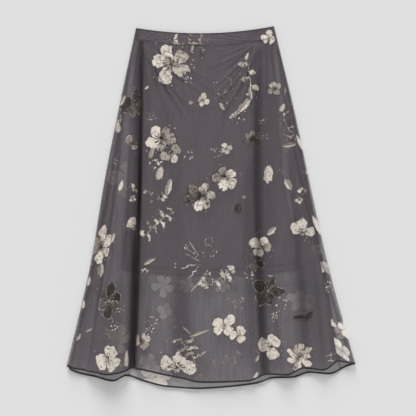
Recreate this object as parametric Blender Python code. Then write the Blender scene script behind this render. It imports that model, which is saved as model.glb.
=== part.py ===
"""An A-line midi skirt of sheer printed georgette over a shorter plain lining, lying flat.

The skirt lies on its back panel, its waist towards +Y and its front towards +Z.
The front panel keeps the folds it fell into: a round flute down the left side, a deep
groove beside it, and softer ridges and valleys towards the right side seam.
Sizes in the tables are millimetres, and MM turns them into Blender's metres.
"""
from collections import namedtuple

import bmesh
import bpy
import numpy as np

MM = 0.001

# Thickness of the cloth and the clearance between pieces.
WALL = 1.2
BAND_WALL = 2.7
GAP = 0.3
HEM_TURN = 6.0
HEM_RISE = 0.8

# Heights of the layers, from the floor up.
LINING_BACK_Z = WALL + GAP
LINING_FRONT_Z = LINING_BACK_Z + WALL + GAP
STACK = LINING_FRONT_Z + WALL + GAP + WALL
REST_ON_BACK = WALL + GAP + WALL

# Waistband: its top edge dips towards the middle, and its back edge sits a little lower.
WAIST_MIDDLE_X = -27.0
WAIST_MIDDLE_Y = 424.0
WAIST_CURVE = 0.00053
BAND_HEIGHT = 28.0
BAND_BACK_DROP = 3.0
BAND_EDGE_ROUND = 0.9
BAND_CORNER_START = 15.0

# Heights up the skirt at which the widths below are given.
LEVEL_Y = np.array([440.0, 239.0, 68.0, -139.0, -395.0])
RISE_LEVEL_Y = np.array([412.0, 239.0, 68.0, -395.0])

# Half outlines seen from the front, and the radius of the turn at each side.
Outline = namedtuple("Outline", "waist hip middle lining hem")
SKIRT_LEFT = Outline(-182.2, -225.3, -258.9, -293.8, -353.5)
SKIRT_RIGHT = Outline(153.2, 202.2, 238.5, 284.8, 355.5)
LINING_LEFT = Outline(-177.0, -196.0, -206.0, -219.5, -219.5)
LINING_RIGHT = Outline(148.0, 163.0, 177.0, 212.0, 212.0)
SIDE_TURN = Outline(2.85, 3.2, 3.6, 4.3, 5.5)

# Where the front sinks from the lining onto the back panel.
SINK_FROM_Y = -172.0
SINK_TO_Y = -215.0

# Fold lines of the front, left to right: where each runs, how far it stands up from what
# it lies on, where it meets the hem, and the number of cells up to the next line.
Fold = namedtuple(
    "Fold", "name waist hip middle lining hem rise_hip rise_middle rise_hem hem_y cells")
FOLDS = (
    Fold("strip_left", -178.0, -219.0, -249.0, -281.0, -333.0, 0.7, 1.5, 8.0, -391.0, 2),
    Fold("strip_inner", -177.2, -214.5, -227.5, -258.0, -309.0, 0.5, 1.0, 4.5, -394.6, 2),
    Fold("flute_foot", -176.2, -211.0, -223.1, -252.4, -301.1, 2.0, 5.0, 11.0, -396.6, 2),
    Fold("flute_left", -174.9, -203.6, -214.6, -240.2, -282.8, 6.5, 12.5, 22.0, -397.6, 3),
    Fold("flute_right", -173.4, -195.1, -201.2, -223.1, -251.2, 9.0, 17.0, 27.0, -403.6, 2),
    Fold("flute_side", -171.9, -186.6, -187.8, -206.1, -219.5, 8.0, 14.0, 21.0, -399.5, 2),
    Fold("groove_wall", -170.6, -180.0, -179.0, -192.7, -202.9, 4.5, 8.0, 10.0, -394.6, 2),
    Fold("groove_left", -169.2, -174.4, -173.2, -185.4, -193.9, 0.0, 0.0, 0.5, -390.5, 2),
    Fold("groove_right", -167.8, -167.0, -166.0, -176.5, -181.5, 0.0, 0.0, 0.5, -389.8, 2),
    Fold("bank_lip", -166.4, -169.0, -168.5, -179.0, -184.5, 5.0, 8.5, 9.0, -390.8, 2),
    Fold("bank_top", -163.0, -160.5, -159.5, -170.0, -173.0, 8.0, 12.5, 13.0, -392.2, 3),
    Fold("ridge_left", -151.0, -144.0, -124.5, -131.8, -124.5, 6.5, 9.0, 12.0, -403.2, 3),
    Fold("valley_soft", -118.0, -110.0, -72.0, -84.0, -70.9, 3.0, 3.5, 4.5, -415.3, 3),
    Fold("middle_left", -62.0, -50.0, -26.0, -34.3, -19.7, 4.5, 6.5, 10.0, -424.3, 4),
    Fold("middle_right", 58.0, 60.7, 60.7, 65.5, 85.0, 4.5, 6.5, 10.5, -420.9, 3),
    Fold("valley_right", 117.0, 112.0, 108.2, 116.7, 136.2, 1.0, 1.5, 2.0, -405.6, 3),
    Fold("ridge_right", 129.0, 145.9, 155.7, 163.0, 182.5, 6.0, 10.0, 16.0, -405.6, 3),
    Fold("valley_side", 139.0, 172.0, 188.0, 214.1, 226.3, 2.0, 3.5, 3.0, -390.5, 2),
    Fold("ridge_side", 144.5, 183.0, 208.0, 243.4, 270.2, 3.5, 7.5, 13.0, -394.0, 3),
    Fold("seam_right", 149.4, 193.4, 228.7, 266.5, 311.6, 0.7, 1.5, 8.0, -372.0, 0),
)
LEFT_CORNER_Y = -385.0
ROLL_TOP_Y = -386.5

# The back panel's hem, which shows below the front's.
HemPoint = namedtuple("HemPoint", "x y")
BACK_HEM = (
    HemPoint(-351.0, -386.0),
    HemPoint(-334.0, -397.0),
    HemPoint(-304.7, -405.8),
    HemPoint(-275.5, -411.7),
    HemPoint(-231.7, -422.2),
    HemPoint(-202.4, -409.0),
    HemPoint(-158.6, -422.9),
    HemPoint(-100.0, -436.0),
    HemPoint(-27.0, -440.4),
    HemPoint(46.0, -435.3),
    HemPoint(104.5, -427.8),
    HemPoint(148.4, -414.6),
    HemPoint(192.2, -413.4),
    HemPoint(236.0, -401.0),
    HemPoint(279.9, -404.9),
    HemPoint(323.7, -388.0),
    HemPoint(351.0, -378.5),
)

# Each lining panel's hem: how low its middle hangs, and how far its ends rise above that.
LINING_FRONT_HEM_Y = -149.0
LINING_BACK_HEM_Y = -165.0
LINING_HEM_LIFT = 17.0

# Steps of the iteration that finds a seam's height, and of the slopes that give normals.
SEAM_STEPS = 5
PLACE_STEP = 0.01
HEIGHT_STEP = 0.5

# Cells of the walls.
FRONT_ROWS = 27
BACK_ROWS = 18
BACK_COLUMNS = 28
TURN_CELLS = 3
STRIP_CELLS = 3
LINING_COLUMNS = 10
LINING_ROWS = 12
BAND_COLUMNS = 16
BAND_ROWS = 3

# Colours of the cloth: red, green and blue, then roughness.
OUTER_CLOTH = (0.125, 0.113, 0.120, 0.85)
BAND_CLOTH = (0.100, 0.090, 0.096, 0.85)
LINING_CLOTH = (0.070, 0.062, 0.068, 0.60)


def smooth(knots, values, at):
    """Read a smooth curve through values at knots, which never overshoots a ridge or a valley.

    values holds one row for all of at, or a row of its own for each place in at.
    """
    knots = np.asarray(knots, float)
    at = np.asarray(at, float)
    values = np.broadcast_to(np.asarray(values, float), at.shape + (len(knots),))
    step = np.diff(knots)
    slope = np.diff(values, axis=-1) / step
    before = slope[..., :-1]
    after = slope[..., 1:]
    same_way = before * after > 0
    bend = np.where(same_way, 2 * before * after / np.where(same_way, before + after, 1), 0)
    tangent = np.concatenate([slope[..., :1], bend, slope[..., -1:]], axis=-1)
    cell = np.clip(np.searchsorted(knots, at, side="right") - 1, 0, len(knots) - 2)

    def pick(table, index):
        return np.take_along_axis(table, index[..., None], axis=-1)[..., 0]

    width = step[cell]
    t = (at - knots[cell]) / width
    start = pick(values, cell) * (1 + 2 * t) * (1 - t) ** 2
    end = pick(values, cell + 1) * t * t * (3 - 2 * t)
    leave = pick(tangent, cell) * width * t * (1 - t) ** 2
    arrive = pick(tangent, cell + 1) * width * t * t * (t - 1)
    return start + end + leave + arrive


def at_height(outline, y):
    """The value of an outline at height y."""
    return smooth(-LEVEL_Y, outline, -y)


def waist_y(x):
    """The top edge of the waistband."""
    return WAIST_MIDDLE_Y + WAIST_CURVE * (x - WAIST_MIDDLE_X) ** 2


def seam_y(x):
    """The seam that joins the waistband to the skirt."""
    return waist_y(x) - BAND_HEIGHT


def rest_height(y):
    """The front's outer height where it lies on the lining, or on the back below it."""
    share = np.clip((y - SINK_TO_Y) / (SINK_FROM_Y - SINK_TO_Y), 0, 1)
    ease = share * share * (3 - 2 * share)
    return REST_ON_BACK + (STACK - REST_ON_BACK) * ease


def front_lines(y):
    """Every fold line's x and z at height y, the top of the left side's turn first."""
    turn = at_height(SIDE_TURN, y)
    xs = [at_height(SKIRT_LEFT, y) + turn]
    zs = [2 * turn]
    rest = rest_height(y)
    below_seam = -np.minimum(y, RISE_LEVEL_Y[0])
    for fold in FOLDS:
        xs.append(at_height(fold[1:6], y))
        rises = (0.0, fold.rise_hip, fold.rise_middle, fold.rise_hem)
        zs.append(rest + smooth(-RISE_LEVEL_Y, rises, below_seam))
    return np.stack(xs, axis=-1), np.stack(zs, axis=-1)


def turn_point(edge, radius, inwards, angle, y):
    """A point on the turn at one side of the skirt: angle 0 faces outwards, a quarter is up."""
    centre = edge + inwards * radius
    return np.stack([centre - inwards * radius * np.cos(angle), y,
                     radius + radius * np.sin(angle)], axis=-1)


def front_point(line, y):
    """A point of the front's outer face.

    line counts the fold lines from the left; from -1 to 0 it goes up the left side's turn.
    """
    xs, zs = front_lines(y)
    numbers = np.arange(len(FOLDS) + 1)
    on_folds = np.maximum(line, 0)
    folded = np.stack([smooth(numbers, xs, on_folds), y, smooth(numbers, zs, on_folds)], axis=-1)
    angle = np.pi / 2 * (1 + np.clip(line, -1, 0))
    turned = turn_point(at_height(SKIRT_LEFT, y), at_height(SIDE_TURN, y), 1, angle, y)
    return np.where(line[..., None] < 0, turned, folded)


def back_point(place, y):
    """A point of the back's outer face.

    place is -1 to 0 down the left side's turn, 0 to 1 along the floor, 1 to 2 round the
    right side's turn, and 2 to 3 from there to the side seam on the front.
    """
    radius = at_height(SIDE_TURN, y)
    left = at_height(SKIRT_LEFT, y)
    right = at_height(SKIRT_RIGHT, y)
    start = left + radius
    end = right - radius
    x = start + (end - start) * np.clip(place, 0, 1)
    floor = np.stack([x, y, np.zeros_like(x)], axis=-1)
    left_angle = -np.pi / 2 * (1 + np.clip(place, -1, 0))
    left_turn = turn_point(left, radius, 1, left_angle, y)
    right_angle = np.pi * (np.clip(place, 1, 2) - 1.5)
    right_turn = turn_point(right, radius, -1, right_angle, y)
    seam = front_point(np.full(y.shape, float(len(FOLDS))), y)
    share = (np.clip(place, 2, 3) - 2)[..., None]
    strip = right_turn + (seam - right_turn) * share
    place = place[..., None]
    return np.where(place < 0, left_turn, np.where(place <= 1, floor, strip))


def span(start, end, cells):
    """Places from start to end, without the first."""
    return np.linspace(start, end, cells + 1)[1:]


def hanging_rows(point, place, hem, rows):
    """Heights of a panel's rows down every column, from the waistband's seam to the hem.

    Two short rows at the foot hold the turned hem.
    """
    y = np.full(place.shape, seam_y(0.0))
    for _ in range(SEAM_STEPS):
        y = seam_y(point(place, y)[:, 0])
    top = y - GAP / 2
    turn = HEM_TURN / (WAIST_MIDDLE_Y - min(hem))
    share = np.concatenate([np.linspace(0, 1 - 2 * turn, rows - 1), [1 - turn, 1]])
    return top[:, None] + (hem - top)[:, None] * share


def outward(point, place, y):
    """Unit normals of a surface, from points a little way across and down it."""
    low = np.maximum(place - PLACE_STEP, place.min())
    high = np.minimum(place + PLACE_STEP, place.max())
    across = point(high, y) - point(low, y)
    down = point(place, y - HEIGHT_STEP) - point(place, y + HEIGHT_STEP)
    normal = np.cross(across, down)
    return normal / np.linalg.norm(normal, axis=-1, keepdims=True)


def cloth_wall(name, outside, inside, cloth):
    """One closed wall of cloth between two grids of points, in millimetres."""
    columns = outside.shape[0] - 1
    rows = outside.shape[1] - 1
    mesh = bpy.data.meshes.new(name)
    shape = bmesh.new()
    bmesh.ops.create_grid(shape, x_segments=columns, y_segments=rows, size=0.5)
    layer = bmesh.ops.extrude_face_region(shape, geom=shape.faces[:], use_keep_orig=True)
    lower = [item for item in layer["geom"] if isinstance(item, bmesh.types.BMVert)]
    bmesh.ops.translate(shape, verts=lower, vec=(0, 0, -1))
    for vertex in shape.verts:
        column = round((vertex.co.x + 0.5) * columns)
        row = round((0.5 - vertex.co.y) * rows)
        face = inside if vertex.co.z < -0.5 else outside
        vertex.co = face[column, row] * MM
    bmesh.ops.recalc_face_normals(shape, faces=shape.faces)
    if shape.calc_volume(signed=True) < 0:
        bmesh.ops.reverse_faces(shape, faces=shape.faces)
    shape.to_mesh(mesh)
    shape.free()
    mesh.shade_smooth()
    piece = bpy.data.objects.new(name, mesh)
    bpy.context.collection.objects.link(piece)
    mesh.materials.append(cloth_material(name, cloth))
    return piece


def cloth_material(name, cloth):
    """A plain cloth finish in the given colour."""
    material = bpy.data.materials.new(name)
    material.use_nodes = True
    shader = material.node_tree.nodes["Principled BSDF"]
    shader.inputs["Base Color"].default_value = (*cloth[:3], 1)
    shader.inputs["Roughness"].default_value = cloth[3]
    shader.inputs["Metallic"].default_value = 0
    return material


def panel_wall(name, point, place, hem, rows, side):
    """A panel's wall: its outer points, and inner points one thickness behind them.

    side is -1 for the front and 1 for the back, whose normals run the other way round.
    The turned hem thickens the wall on its upper side: outwards on the front, inwards on
    the back, which lies on the floor.
    """
    y = hanging_rows(point, place, hem, rows)
    grid = np.broadcast_to(place[:, None], y.shape).copy()
    clear = GAP / 2 / (np.pi / 2 * at_height(SIDE_TURN, y[0]))
    grid[0] += clear
    outside = point(grid, y)
    outside[-1, :, 0] += side * GAP / 2
    normal = outward(point, grid, y) * side
    normal[-1] *= (0, 1, 1)
    normal[-1] /= np.linalg.norm(normal[-1], axis=-1, keepdims=True)
    inside = outside - normal * WALL
    turned = np.zeros(y.shape[1])
    turned[-2:] = HEM_RISE
    if side < 0:
        outside = outside + normal * turned[:, None]
    else:
        inside = inside - normal * turned[:, None]
    return cloth_wall(name, outside, inside, OUTER_CLOTH)


def make_front():
    """The front panel, from the left side's turn to the right side seam."""
    place = [np.array([-1.0]), span(-1, 0, TURN_CELLS), span(0, 1, TURN_CELLS)]
    for number, fold in enumerate(FOLDS[:-1]):
        place.append(span(number + 1, number + 2, fold.cells))
    place = np.concatenate(place)
    hem_knots = np.arange(-1, len(FOLDS) + 1)
    hem_y = [LEFT_CORNER_Y, ROLL_TOP_Y] + [fold.hem_y for fold in FOLDS]
    hem = smooth(hem_knots, hem_y, place)
    return panel_wall("skirt_front", front_point, place, hem, FRONT_ROWS, -1)


def make_back():
    """The back panel: flat on the floor, round both sides, and up to the front's side seam."""
    place = np.concatenate([
        np.array([-1.0]), span(-1, 0, TURN_CELLS), span(0, 1, BACK_COLUMNS),
        span(1, 2, 2 * TURN_CELLS), span(2, 3, STRIP_CELLS),
    ])
    corner_x = back_point(place, np.full(place.shape, BACK_HEM[-1].y))[:, 0]
    floor_hem = smooth([p.x for p in BACK_HEM], [p.y for p in BACK_HEM], corner_x)
    strip_hem = BACK_HEM[-1].y + (FOLDS[-1].hem_y - BACK_HEM[-1].y) * (place - 2)
    hem = np.where(place > 2, strip_hem, np.where(place < 0, LEFT_CORNER_Y, floor_hem))
    return panel_wall("skirt_back", back_point, place, hem, BACK_ROWS, 1)


def make_lining(name, underside, hem_middle):
    """One flat lining panel, which ends well above the skirt's own hem."""
    across = np.linspace(0, 1, LINING_COLUMNS + 1)[:, None]
    down = np.linspace(0, 1, LINING_ROWS + 1)[None, :]
    side = 2 * across - 1
    hem = hem_middle + LINING_HEM_LIFT * side ** 2
    top_x = LINING_LEFT.waist + (LINING_RIGHT.waist - LINING_LEFT.waist) * across
    top = seam_y(top_x) - GAP
    y = top + (hem - top) * down
    left = at_height(LINING_LEFT, y)
    x = left + (at_height(LINING_RIGHT, y) - left) * across
    lower = np.stack([x, y, np.full(x.shape, underside)], axis=-1)
    upper = lower + (0, 0, WALL)
    return cloth_wall(name, upper, lower, LINING_CLOTH)


def make_band(name, back):
    """One half of the waistband: a doubled strip with rounded sides and top edge."""
    angle = np.radians(np.linspace(BAND_CORNER_START, 90, TURN_CELLS + 1))
    inset = BAND_WALL * (1 - np.cos(angle))
    lift = BAND_WALL * np.sin(angle)
    middle = np.linspace(0, 1, BAND_COLUMNS + 1)[1:-1]
    share = np.concatenate([np.zeros(angle.shape), middle, np.ones(angle.shape)])
    offset = np.concatenate([inset, BAND_WALL * (1 - 2 * middle), -inset[::-1]])
    height = np.concatenate([lift, np.full(middle.shape, BAND_WALL), lift[::-1]])
    drop = BAND_BACK_DROP if back else 0.0

    outside = []
    inside = []
    for row in range(BAND_ROWS + 1):
        y = np.full(share.shape, WAIST_MIDDLE_Y)
        for _ in range(SEAM_STEPS):
            left = at_height(SKIRT_LEFT, y)
            x = left + (at_height(SKIRT_RIGHT, y) - left) * share + offset
            top = waist_y(x) - drop
            y = top + (seam_y(x) + GAP / 2 - top) * row / BAND_ROWS
        rounding = np.minimum(BAND_EDGE_ROUND, height / 2) if row == 0 else 0
        outside.append(np.stack([x, y, BAND_WALL + GAP + height - rounding], axis=-1))
        inside.append(np.stack([x, y, np.full(x.shape, BAND_WALL + GAP)], axis=-1))
    outside = np.stack(outside, axis=1)
    inside = np.stack(inside, axis=1)
    if back:
        outside[..., 2] = STACK - outside[..., 2]
        inside[..., 2] = STACK - inside[..., 2]
    return cloth_wall(name, outside, inside, BAND_CLOTH)


def centre_on_floor(pieces):
    """Put the middle of the skirt's outline over the origin."""
    places = np.array([vertex.co for piece in pieces for vertex in piece.data.vertices])
    middle = (places.min(axis=0) + places.max(axis=0)) / 2
    for piece in pieces:
        shape = bmesh.new()
        shape.from_mesh(piece.data)
        bmesh.ops.translate(shape, verts=shape.verts, vec=(-middle[0], -middle[1], 0))
        shape.to_mesh(piece.data)
        shape.free()
    print("outline moved by", [round(float(value) / MM, 3) for value in middle[:2]], "mm")


for old in list(bpy.data.objects):
    bpy.data.objects.remove(old)

skirt = [
    make_band("waistband_front", back=False),
    make_band("waistband_back", back=True),
    make_front(),
    make_back(),
    make_lining("lining_front", LINING_FRONT_Z, LINING_FRONT_HEM_Y),
    make_lining("lining_back", LINING_BACK_Z, LINING_BACK_HEM_Y),
]
centre_on_floor(skirt)
for piece in skirt:
    print(piece.name, len(piece.data.polygons) * 2, "triangles")
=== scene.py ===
# %% [markdown]
# # A sheer printed skirt, laid flat
# This lesson dresses a imported CAD model of a midi skirt. The CAD model has one thick
# wall for each panel of cloth, which is right for collision and far too coarse to look
# at. Here each panel becomes a thin shell on the same form, with a finer mesh, small
# creases, rolled hems, stitches and a printed cloth that lets light through.
#
# The frame is loaded first, because every piece below is placed by it.

from collections import namedtuple

import bmesh
import bpy
import numpy as np
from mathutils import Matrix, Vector


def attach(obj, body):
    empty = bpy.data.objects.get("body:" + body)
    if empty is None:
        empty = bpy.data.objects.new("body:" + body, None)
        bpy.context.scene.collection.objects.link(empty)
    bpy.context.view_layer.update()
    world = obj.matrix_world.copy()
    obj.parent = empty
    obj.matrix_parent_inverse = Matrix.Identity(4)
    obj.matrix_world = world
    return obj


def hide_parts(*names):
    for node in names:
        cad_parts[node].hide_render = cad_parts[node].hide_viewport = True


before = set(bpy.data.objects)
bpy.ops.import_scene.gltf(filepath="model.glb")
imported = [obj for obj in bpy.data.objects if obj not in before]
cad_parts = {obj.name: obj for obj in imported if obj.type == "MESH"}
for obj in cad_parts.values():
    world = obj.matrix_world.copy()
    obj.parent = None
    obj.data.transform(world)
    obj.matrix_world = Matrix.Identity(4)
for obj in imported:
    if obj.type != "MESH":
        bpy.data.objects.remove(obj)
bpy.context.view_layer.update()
MM = 0.001

# %% [markdown]
# ## The form of the skirt in tables
# A laid skirt is easiest to describe level by level. At each of five heights the tables
# say how wide it is, where each fold line runs and how far it stands up from what it
# lies on. Twenty fold lines could be drawn as splines instead, but a table can be read
# and changed one number at a time, and it's the same table that gave the CAD walls their
# form, so the fine cloth lies where the coarse wall lies. All sizes are millimetres, with
# x to the right, y from hem to waist and z up.

# %% Levels, outlines and fold lines
WALL = 1.2
GAP = 0.3
LINING_BACK_Z = WALL + GAP
LINING_FRONT_Z = LINING_BACK_Z + WALL + GAP
STACK = LINING_FRONT_Z + WALL + GAP + WALL
REST_ON_BACK = WALL + GAP + WALL

# The middle of the outline in the tables, which the frame puts over its origin.
MIDDLE_X = -0.504
MIDDLE_Y = 0.377

LEVEL_Y = np.array([440.0, 239.0, 68.0, -139.0, -395.0])
RISE_LEVEL_Y = np.array([412.0, 239.0, 68.0, -395.0])

Outline = namedtuple("Outline", "waist hip middle lining hem")
SKIRT_LEFT = Outline(-182.2, -225.3, -258.9, -293.8, -353.5)
SKIRT_RIGHT = Outline(153.2, 202.2, 238.5, 284.8, 355.5)
LINING_LEFT = Outline(-177.0, -196.0, -206.0, -219.5, -219.5)
LINING_RIGHT = Outline(148.0, 163.0, 177.0, 212.0, 212.0)
SIDE_TURN = Outline(2.85, 3.2, 3.6, 4.3, 5.5)

# Where the front sinks from the lining onto the back panel.
SINK_FROM_Y = -172.0
SINK_TO_Y = -215.0

Fold = namedtuple(
    "Fold", "name waist hip middle lining hem rise_hip rise_middle rise_hem hem_y")
FOLDS = (
    Fold("strip_left", -178.0, -219.0, -249.0, -281.0, -333.0, 0.7, 1.5, 8.0, -391.0),
    Fold("strip_inner", -177.2, -214.5, -227.5, -258.0, -309.0, 0.5, 1.0, 4.5, -394.6),
    Fold("flute_foot", -176.2, -211.0, -223.1, -252.4, -301.1, 2.0, 5.0, 11.0, -396.6),
    Fold("flute_left", -174.9, -203.6, -214.6, -240.2, -282.8, 6.5, 12.5, 22.0, -397.6),
    Fold("flute_right", -173.4, -195.1, -201.2, -223.1, -251.2, 9.0, 17.0, 27.0, -403.6),
    Fold("flute_side", -171.9, -186.6, -187.8, -206.1, -219.5, 8.0, 14.0, 21.0, -399.5),
    Fold("groove_wall", -170.6, -180.0, -179.0, -192.7, -202.9, 4.5, 8.0, 10.0, -394.6),
    Fold("groove_left", -169.2, -174.4, -173.2, -185.4, -193.9, 0.0, 0.0, 0.5, -390.5),
    Fold("groove_right", -167.8, -167.0, -166.0, -176.5, -181.5, 0.0, 0.0, 0.5, -389.8),
    Fold("bank_lip", -166.4, -169.0, -168.5, -179.0, -184.5, 5.0, 8.5, 9.0, -390.8),
    Fold("bank_top", -163.0, -160.5, -159.5, -170.0, -173.0, 8.0, 12.5, 13.0, -392.2),
    Fold("ridge_left", -151.0, -144.0, -124.5, -131.8, -124.5, 6.5, 9.0, 12.0, -403.2),
    Fold("valley_soft", -118.0, -110.0, -72.0, -84.0, -70.9, 3.0, 3.5, 4.5, -415.3),
    Fold("middle_left", -62.0, -50.0, -26.0, -34.3, -19.7, 4.5, 6.5, 10.0, -424.3),
    Fold("middle_right", 58.0, 60.7, 60.7, 65.5, 85.0, 4.5, 6.5, 10.5, -420.9),
    Fold("valley_right", 117.0, 112.0, 108.2, 116.7, 136.2, 1.0, 1.5, 2.0, -405.6),
    Fold("ridge_right", 129.0, 145.9, 155.7, 163.0, 182.5, 6.0, 10.0, 16.0, -405.6),
    Fold("valley_side", 139.0, 172.0, 188.0, 214.1, 226.3, 2.0, 3.5, 3.0, -390.5),
    Fold("ridge_side", 144.5, 183.0, 208.0, 243.4, 270.2, 3.5, 7.5, 13.0, -394.0),
    Fold("seam_right", 149.4, 193.4, 228.7, 266.5, 311.6, 0.7, 1.5, 8.0, -372.0),
)
LEFT_CORNER_Y = -385.0
ROLL_TOP_Y = -386.5

HemPoint = namedtuple("HemPoint", "x y")
BACK_HEM = (
    HemPoint(-351.0, -386.0),
    HemPoint(-334.0, -397.0),
    HemPoint(-304.7, -405.8),
    HemPoint(-275.5, -411.7),
    HemPoint(-231.7, -422.2),
    HemPoint(-202.4, -409.0),
    HemPoint(-158.6, -422.9),
    HemPoint(-100.0, -436.0),
    HemPoint(-27.0, -440.4),
    HemPoint(46.0, -435.3),
    HemPoint(104.5, -427.8),
    HemPoint(148.4, -414.6),
    HemPoint(192.2, -413.4),
    HemPoint(236.0, -401.0),
    HemPoint(279.9, -404.9),
    HemPoint(323.7, -388.0),
    HemPoint(351.0, -378.5),
)
print(len(FOLDS), "fold lines and", len(BACK_HEM), "hem points")

# %% [markdown]
# ## Reading a smooth curve out of a table
# Cloth bends smoothly between the fold lines, but it must not bulge past a ridge or dip
# below a valley, or the front would sink into the lining. An ordinary spline overshoots.
# A monotone cubic never does: its slope is zero wherever the values turn round. The same
# function serves down the skirt, from level to level, and across it, from fold to fold.

# %% A curve that never overshoots
def smooth(knots, values, at):
    """Read a smooth curve through values at knots, which never overshoots a ridge or a valley.

    values holds one row for all of at, or a row of its own for each place in at.
    """
    knots = np.asarray(knots, float)
    at = np.asarray(at, float)
    values = np.broadcast_to(np.asarray(values, float), at.shape + (len(knots),))
    step = np.diff(knots)
    slope = np.diff(values, axis=-1) / step
    before = slope[..., :-1]
    after = slope[..., 1:]
    same_way = before * after > 0
    bend = np.where(same_way, 2 * before * after / np.where(same_way, before + after, 1), 0)
    tangent = np.concatenate([slope[..., :1], bend, slope[..., -1:]], axis=-1)
    cell = np.clip(np.searchsorted(knots, at, side="right") - 1, 0, len(knots) - 2)

    def pick(table, index):
        return np.take_along_axis(table, index[..., None], axis=-1)[..., 0]

    width = step[cell]
    t = (at - knots[cell]) / width
    start = pick(values, cell) * (1 + 2 * t) * (1 - t) ** 2
    end = pick(values, cell + 1) * t * t * (3 - 2 * t)
    leave = pick(tangent, cell) * width * t * (1 - t) ** 2
    arrive = pick(tangent, cell + 1) * width * t * t * (t - 1)
    return start + end + leave + arrive


def at_height(outline, y):
    """The value of an outline at height y."""
    return smooth(-LEVEL_Y, outline, -y)


print("half way down, the skirt is",
      round(float(at_height(SKIRT_RIGHT, np.array(0.0)) - at_height(SKIRT_LEFT, np.array(0.0)))),
      "mm wide")

# %% [markdown]
# ## The waist
# The waist dips towards its middle, as a waistband does between the two points that it
# hung from. The seam below the band runs parallel to its top edge. One parabola for both
# is enough, because a band is a straight strip and bends in one even curve.

# %% Waist edge and waist seam
WAIST_MIDDLE_X = -27.0
WAIST_MIDDLE_Y = 424.0
WAIST_CURVE = 0.00053
BAND_HEIGHT = 28.0


def waist_y(x):
    """The top edge of the waistband."""
    return WAIST_MIDDLE_Y + WAIST_CURVE * (x - WAIST_MIDDLE_X) ** 2


def seam_y(x):
    """The seam that joins the waistband to the skirt."""
    return waist_y(x) - BAND_HEIGHT


print("the waist dips", round(waist_y(149.0) - WAIST_MIDDLE_Y, 1), "mm")

# %% [markdown]
# ## The front and the back as surfaces
# Both panels are read as functions: give a place across the cloth and a height, and get
# a point of the outer face. The front climbs from the left side's turn over all the fold
# lines to the side seam on the right. The back lies on the table, turns round both sides
# and climbs to that same seam. A function can be sampled as finely as a mesh needs, which
# a stored mesh can't.

# %% Points of the front and the back
def rest_height(y):
    """The front's outer height where it lies on the lining, or on the back below it."""
    share = np.clip((y - SINK_TO_Y) / (SINK_FROM_Y - SINK_TO_Y), 0, 1)
    ease = share * share * (3 - 2 * share)
    return REST_ON_BACK + (STACK - REST_ON_BACK) * ease


def front_lines(y):
    """Every fold line's x and z at height y, the top of the left side's turn first."""
    turn = at_height(SIDE_TURN, y)
    xs = [at_height(SKIRT_LEFT, y) + turn]
    zs = [2 * turn]
    rest = rest_height(y)
    below_seam = -np.minimum(y, RISE_LEVEL_Y[0])
    for fold in FOLDS:
        xs.append(at_height(fold[1:6], y))
        rises = (0.0, fold.rise_hip, fold.rise_middle, fold.rise_hem)
        zs.append(rest + smooth(-RISE_LEVEL_Y, rises, below_seam))
    return np.stack(xs, axis=-1), np.stack(zs, axis=-1)


def turn_point(edge, radius, inwards, angle, y):
    """A point on the turn at one side of the skirt: angle 0 faces outwards, a quarter is up."""
    centre = edge + inwards * radius
    return np.stack([centre - inwards * radius * np.cos(angle), y,
                     radius + radius * np.sin(angle)], axis=-1)


def front_point(line, y):
    """A point of the front's outer face.

    line counts the fold lines from the left; from -1 to 0 it goes up the left side's turn.
    """
    xs, zs = front_lines(y)
    numbers = np.arange(len(FOLDS) + 1)
    on_folds = np.maximum(line, 0)
    folded = np.stack([smooth(numbers, xs, on_folds), y, smooth(numbers, zs, on_folds)], axis=-1)
    angle = np.pi / 2 * (1 + np.clip(line, -1, 0))
    turned = turn_point(at_height(SKIRT_LEFT, y), at_height(SIDE_TURN, y), 1, angle, y)
    return np.where(line[..., None] < 0, turned, folded)


def back_point(place, y):
    """A point of the back's outer face.

    place is -1 to 0 down the left side's turn, 0 to 1 along the floor, 1 to 2 round the
    right side's turn, and 2 to 3 from there to the side seam on the front.
    """
    radius = at_height(SIDE_TURN, y)
    left = at_height(SKIRT_LEFT, y)
    right = at_height(SKIRT_RIGHT, y)
    start = left + radius
    end = right - radius
    x = start + (end - start) * np.clip(place, 0, 1)
    floor = np.stack([x, y, np.zeros_like(x)], axis=-1)
    left_angle = -np.pi / 2 * (1 + np.clip(place, -1, 0))
    left_turn = turn_point(left, radius, 1, left_angle, y)
    right_angle = np.pi * (np.clip(place, 1, 2) - 1.5)
    right_turn = turn_point(right, radius, -1, right_angle, y)
    seam = front_point(np.full(y.shape, float(len(FOLDS))), y)
    share = (np.clip(place, 2, 3) - 2)[..., None]
    strip = right_turn + (seam - right_turn) * share
    place = place[..., None]
    return np.where(place < 0, left_turn, np.where(place <= 1, floor, strip))


crown = front_point(np.array(5.0), np.array(-395.0))
print("the flute stands", round(float(crown[2]), 1), "mm high at the hem")

# %% [markdown]
# ## Rows, columns and normals
# A panel is a grid: columns run from waist to hem and rows run across. Equal steps of
# "place" would crowd the columns in the wide, flat parts, so the columns are spread by
# distance along the cloth instead, with a little extra wherever the cloth turns. Each
# column ends at the hem's own height, so the hem line comes out exact. A panel can have
# its rows closer together at the waist, where the smallest creases are.

# %% Sampling a panel
SEAM_STEPS = 5
PLACE_STEP = 0.01
HEIGHT_STEP = 0.5
MEASURE_STEPS = 600
SPREAD_Y = -139.0


def even_places(point, start, end, columns, extra):
    """Places whose columns lie about equally far apart, measured along one level."""
    place = np.linspace(start, end, MEASURE_STEPS)
    path = point(place, np.full(place.shape, SPREAD_Y))
    length = np.linalg.norm(np.diff(path, axis=0), axis=1) + extra * np.diff(place)
    along = np.concatenate([[0], np.cumsum(length)])
    return np.interp(np.linspace(0, along[-1], columns + 1), along, place)


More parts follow.
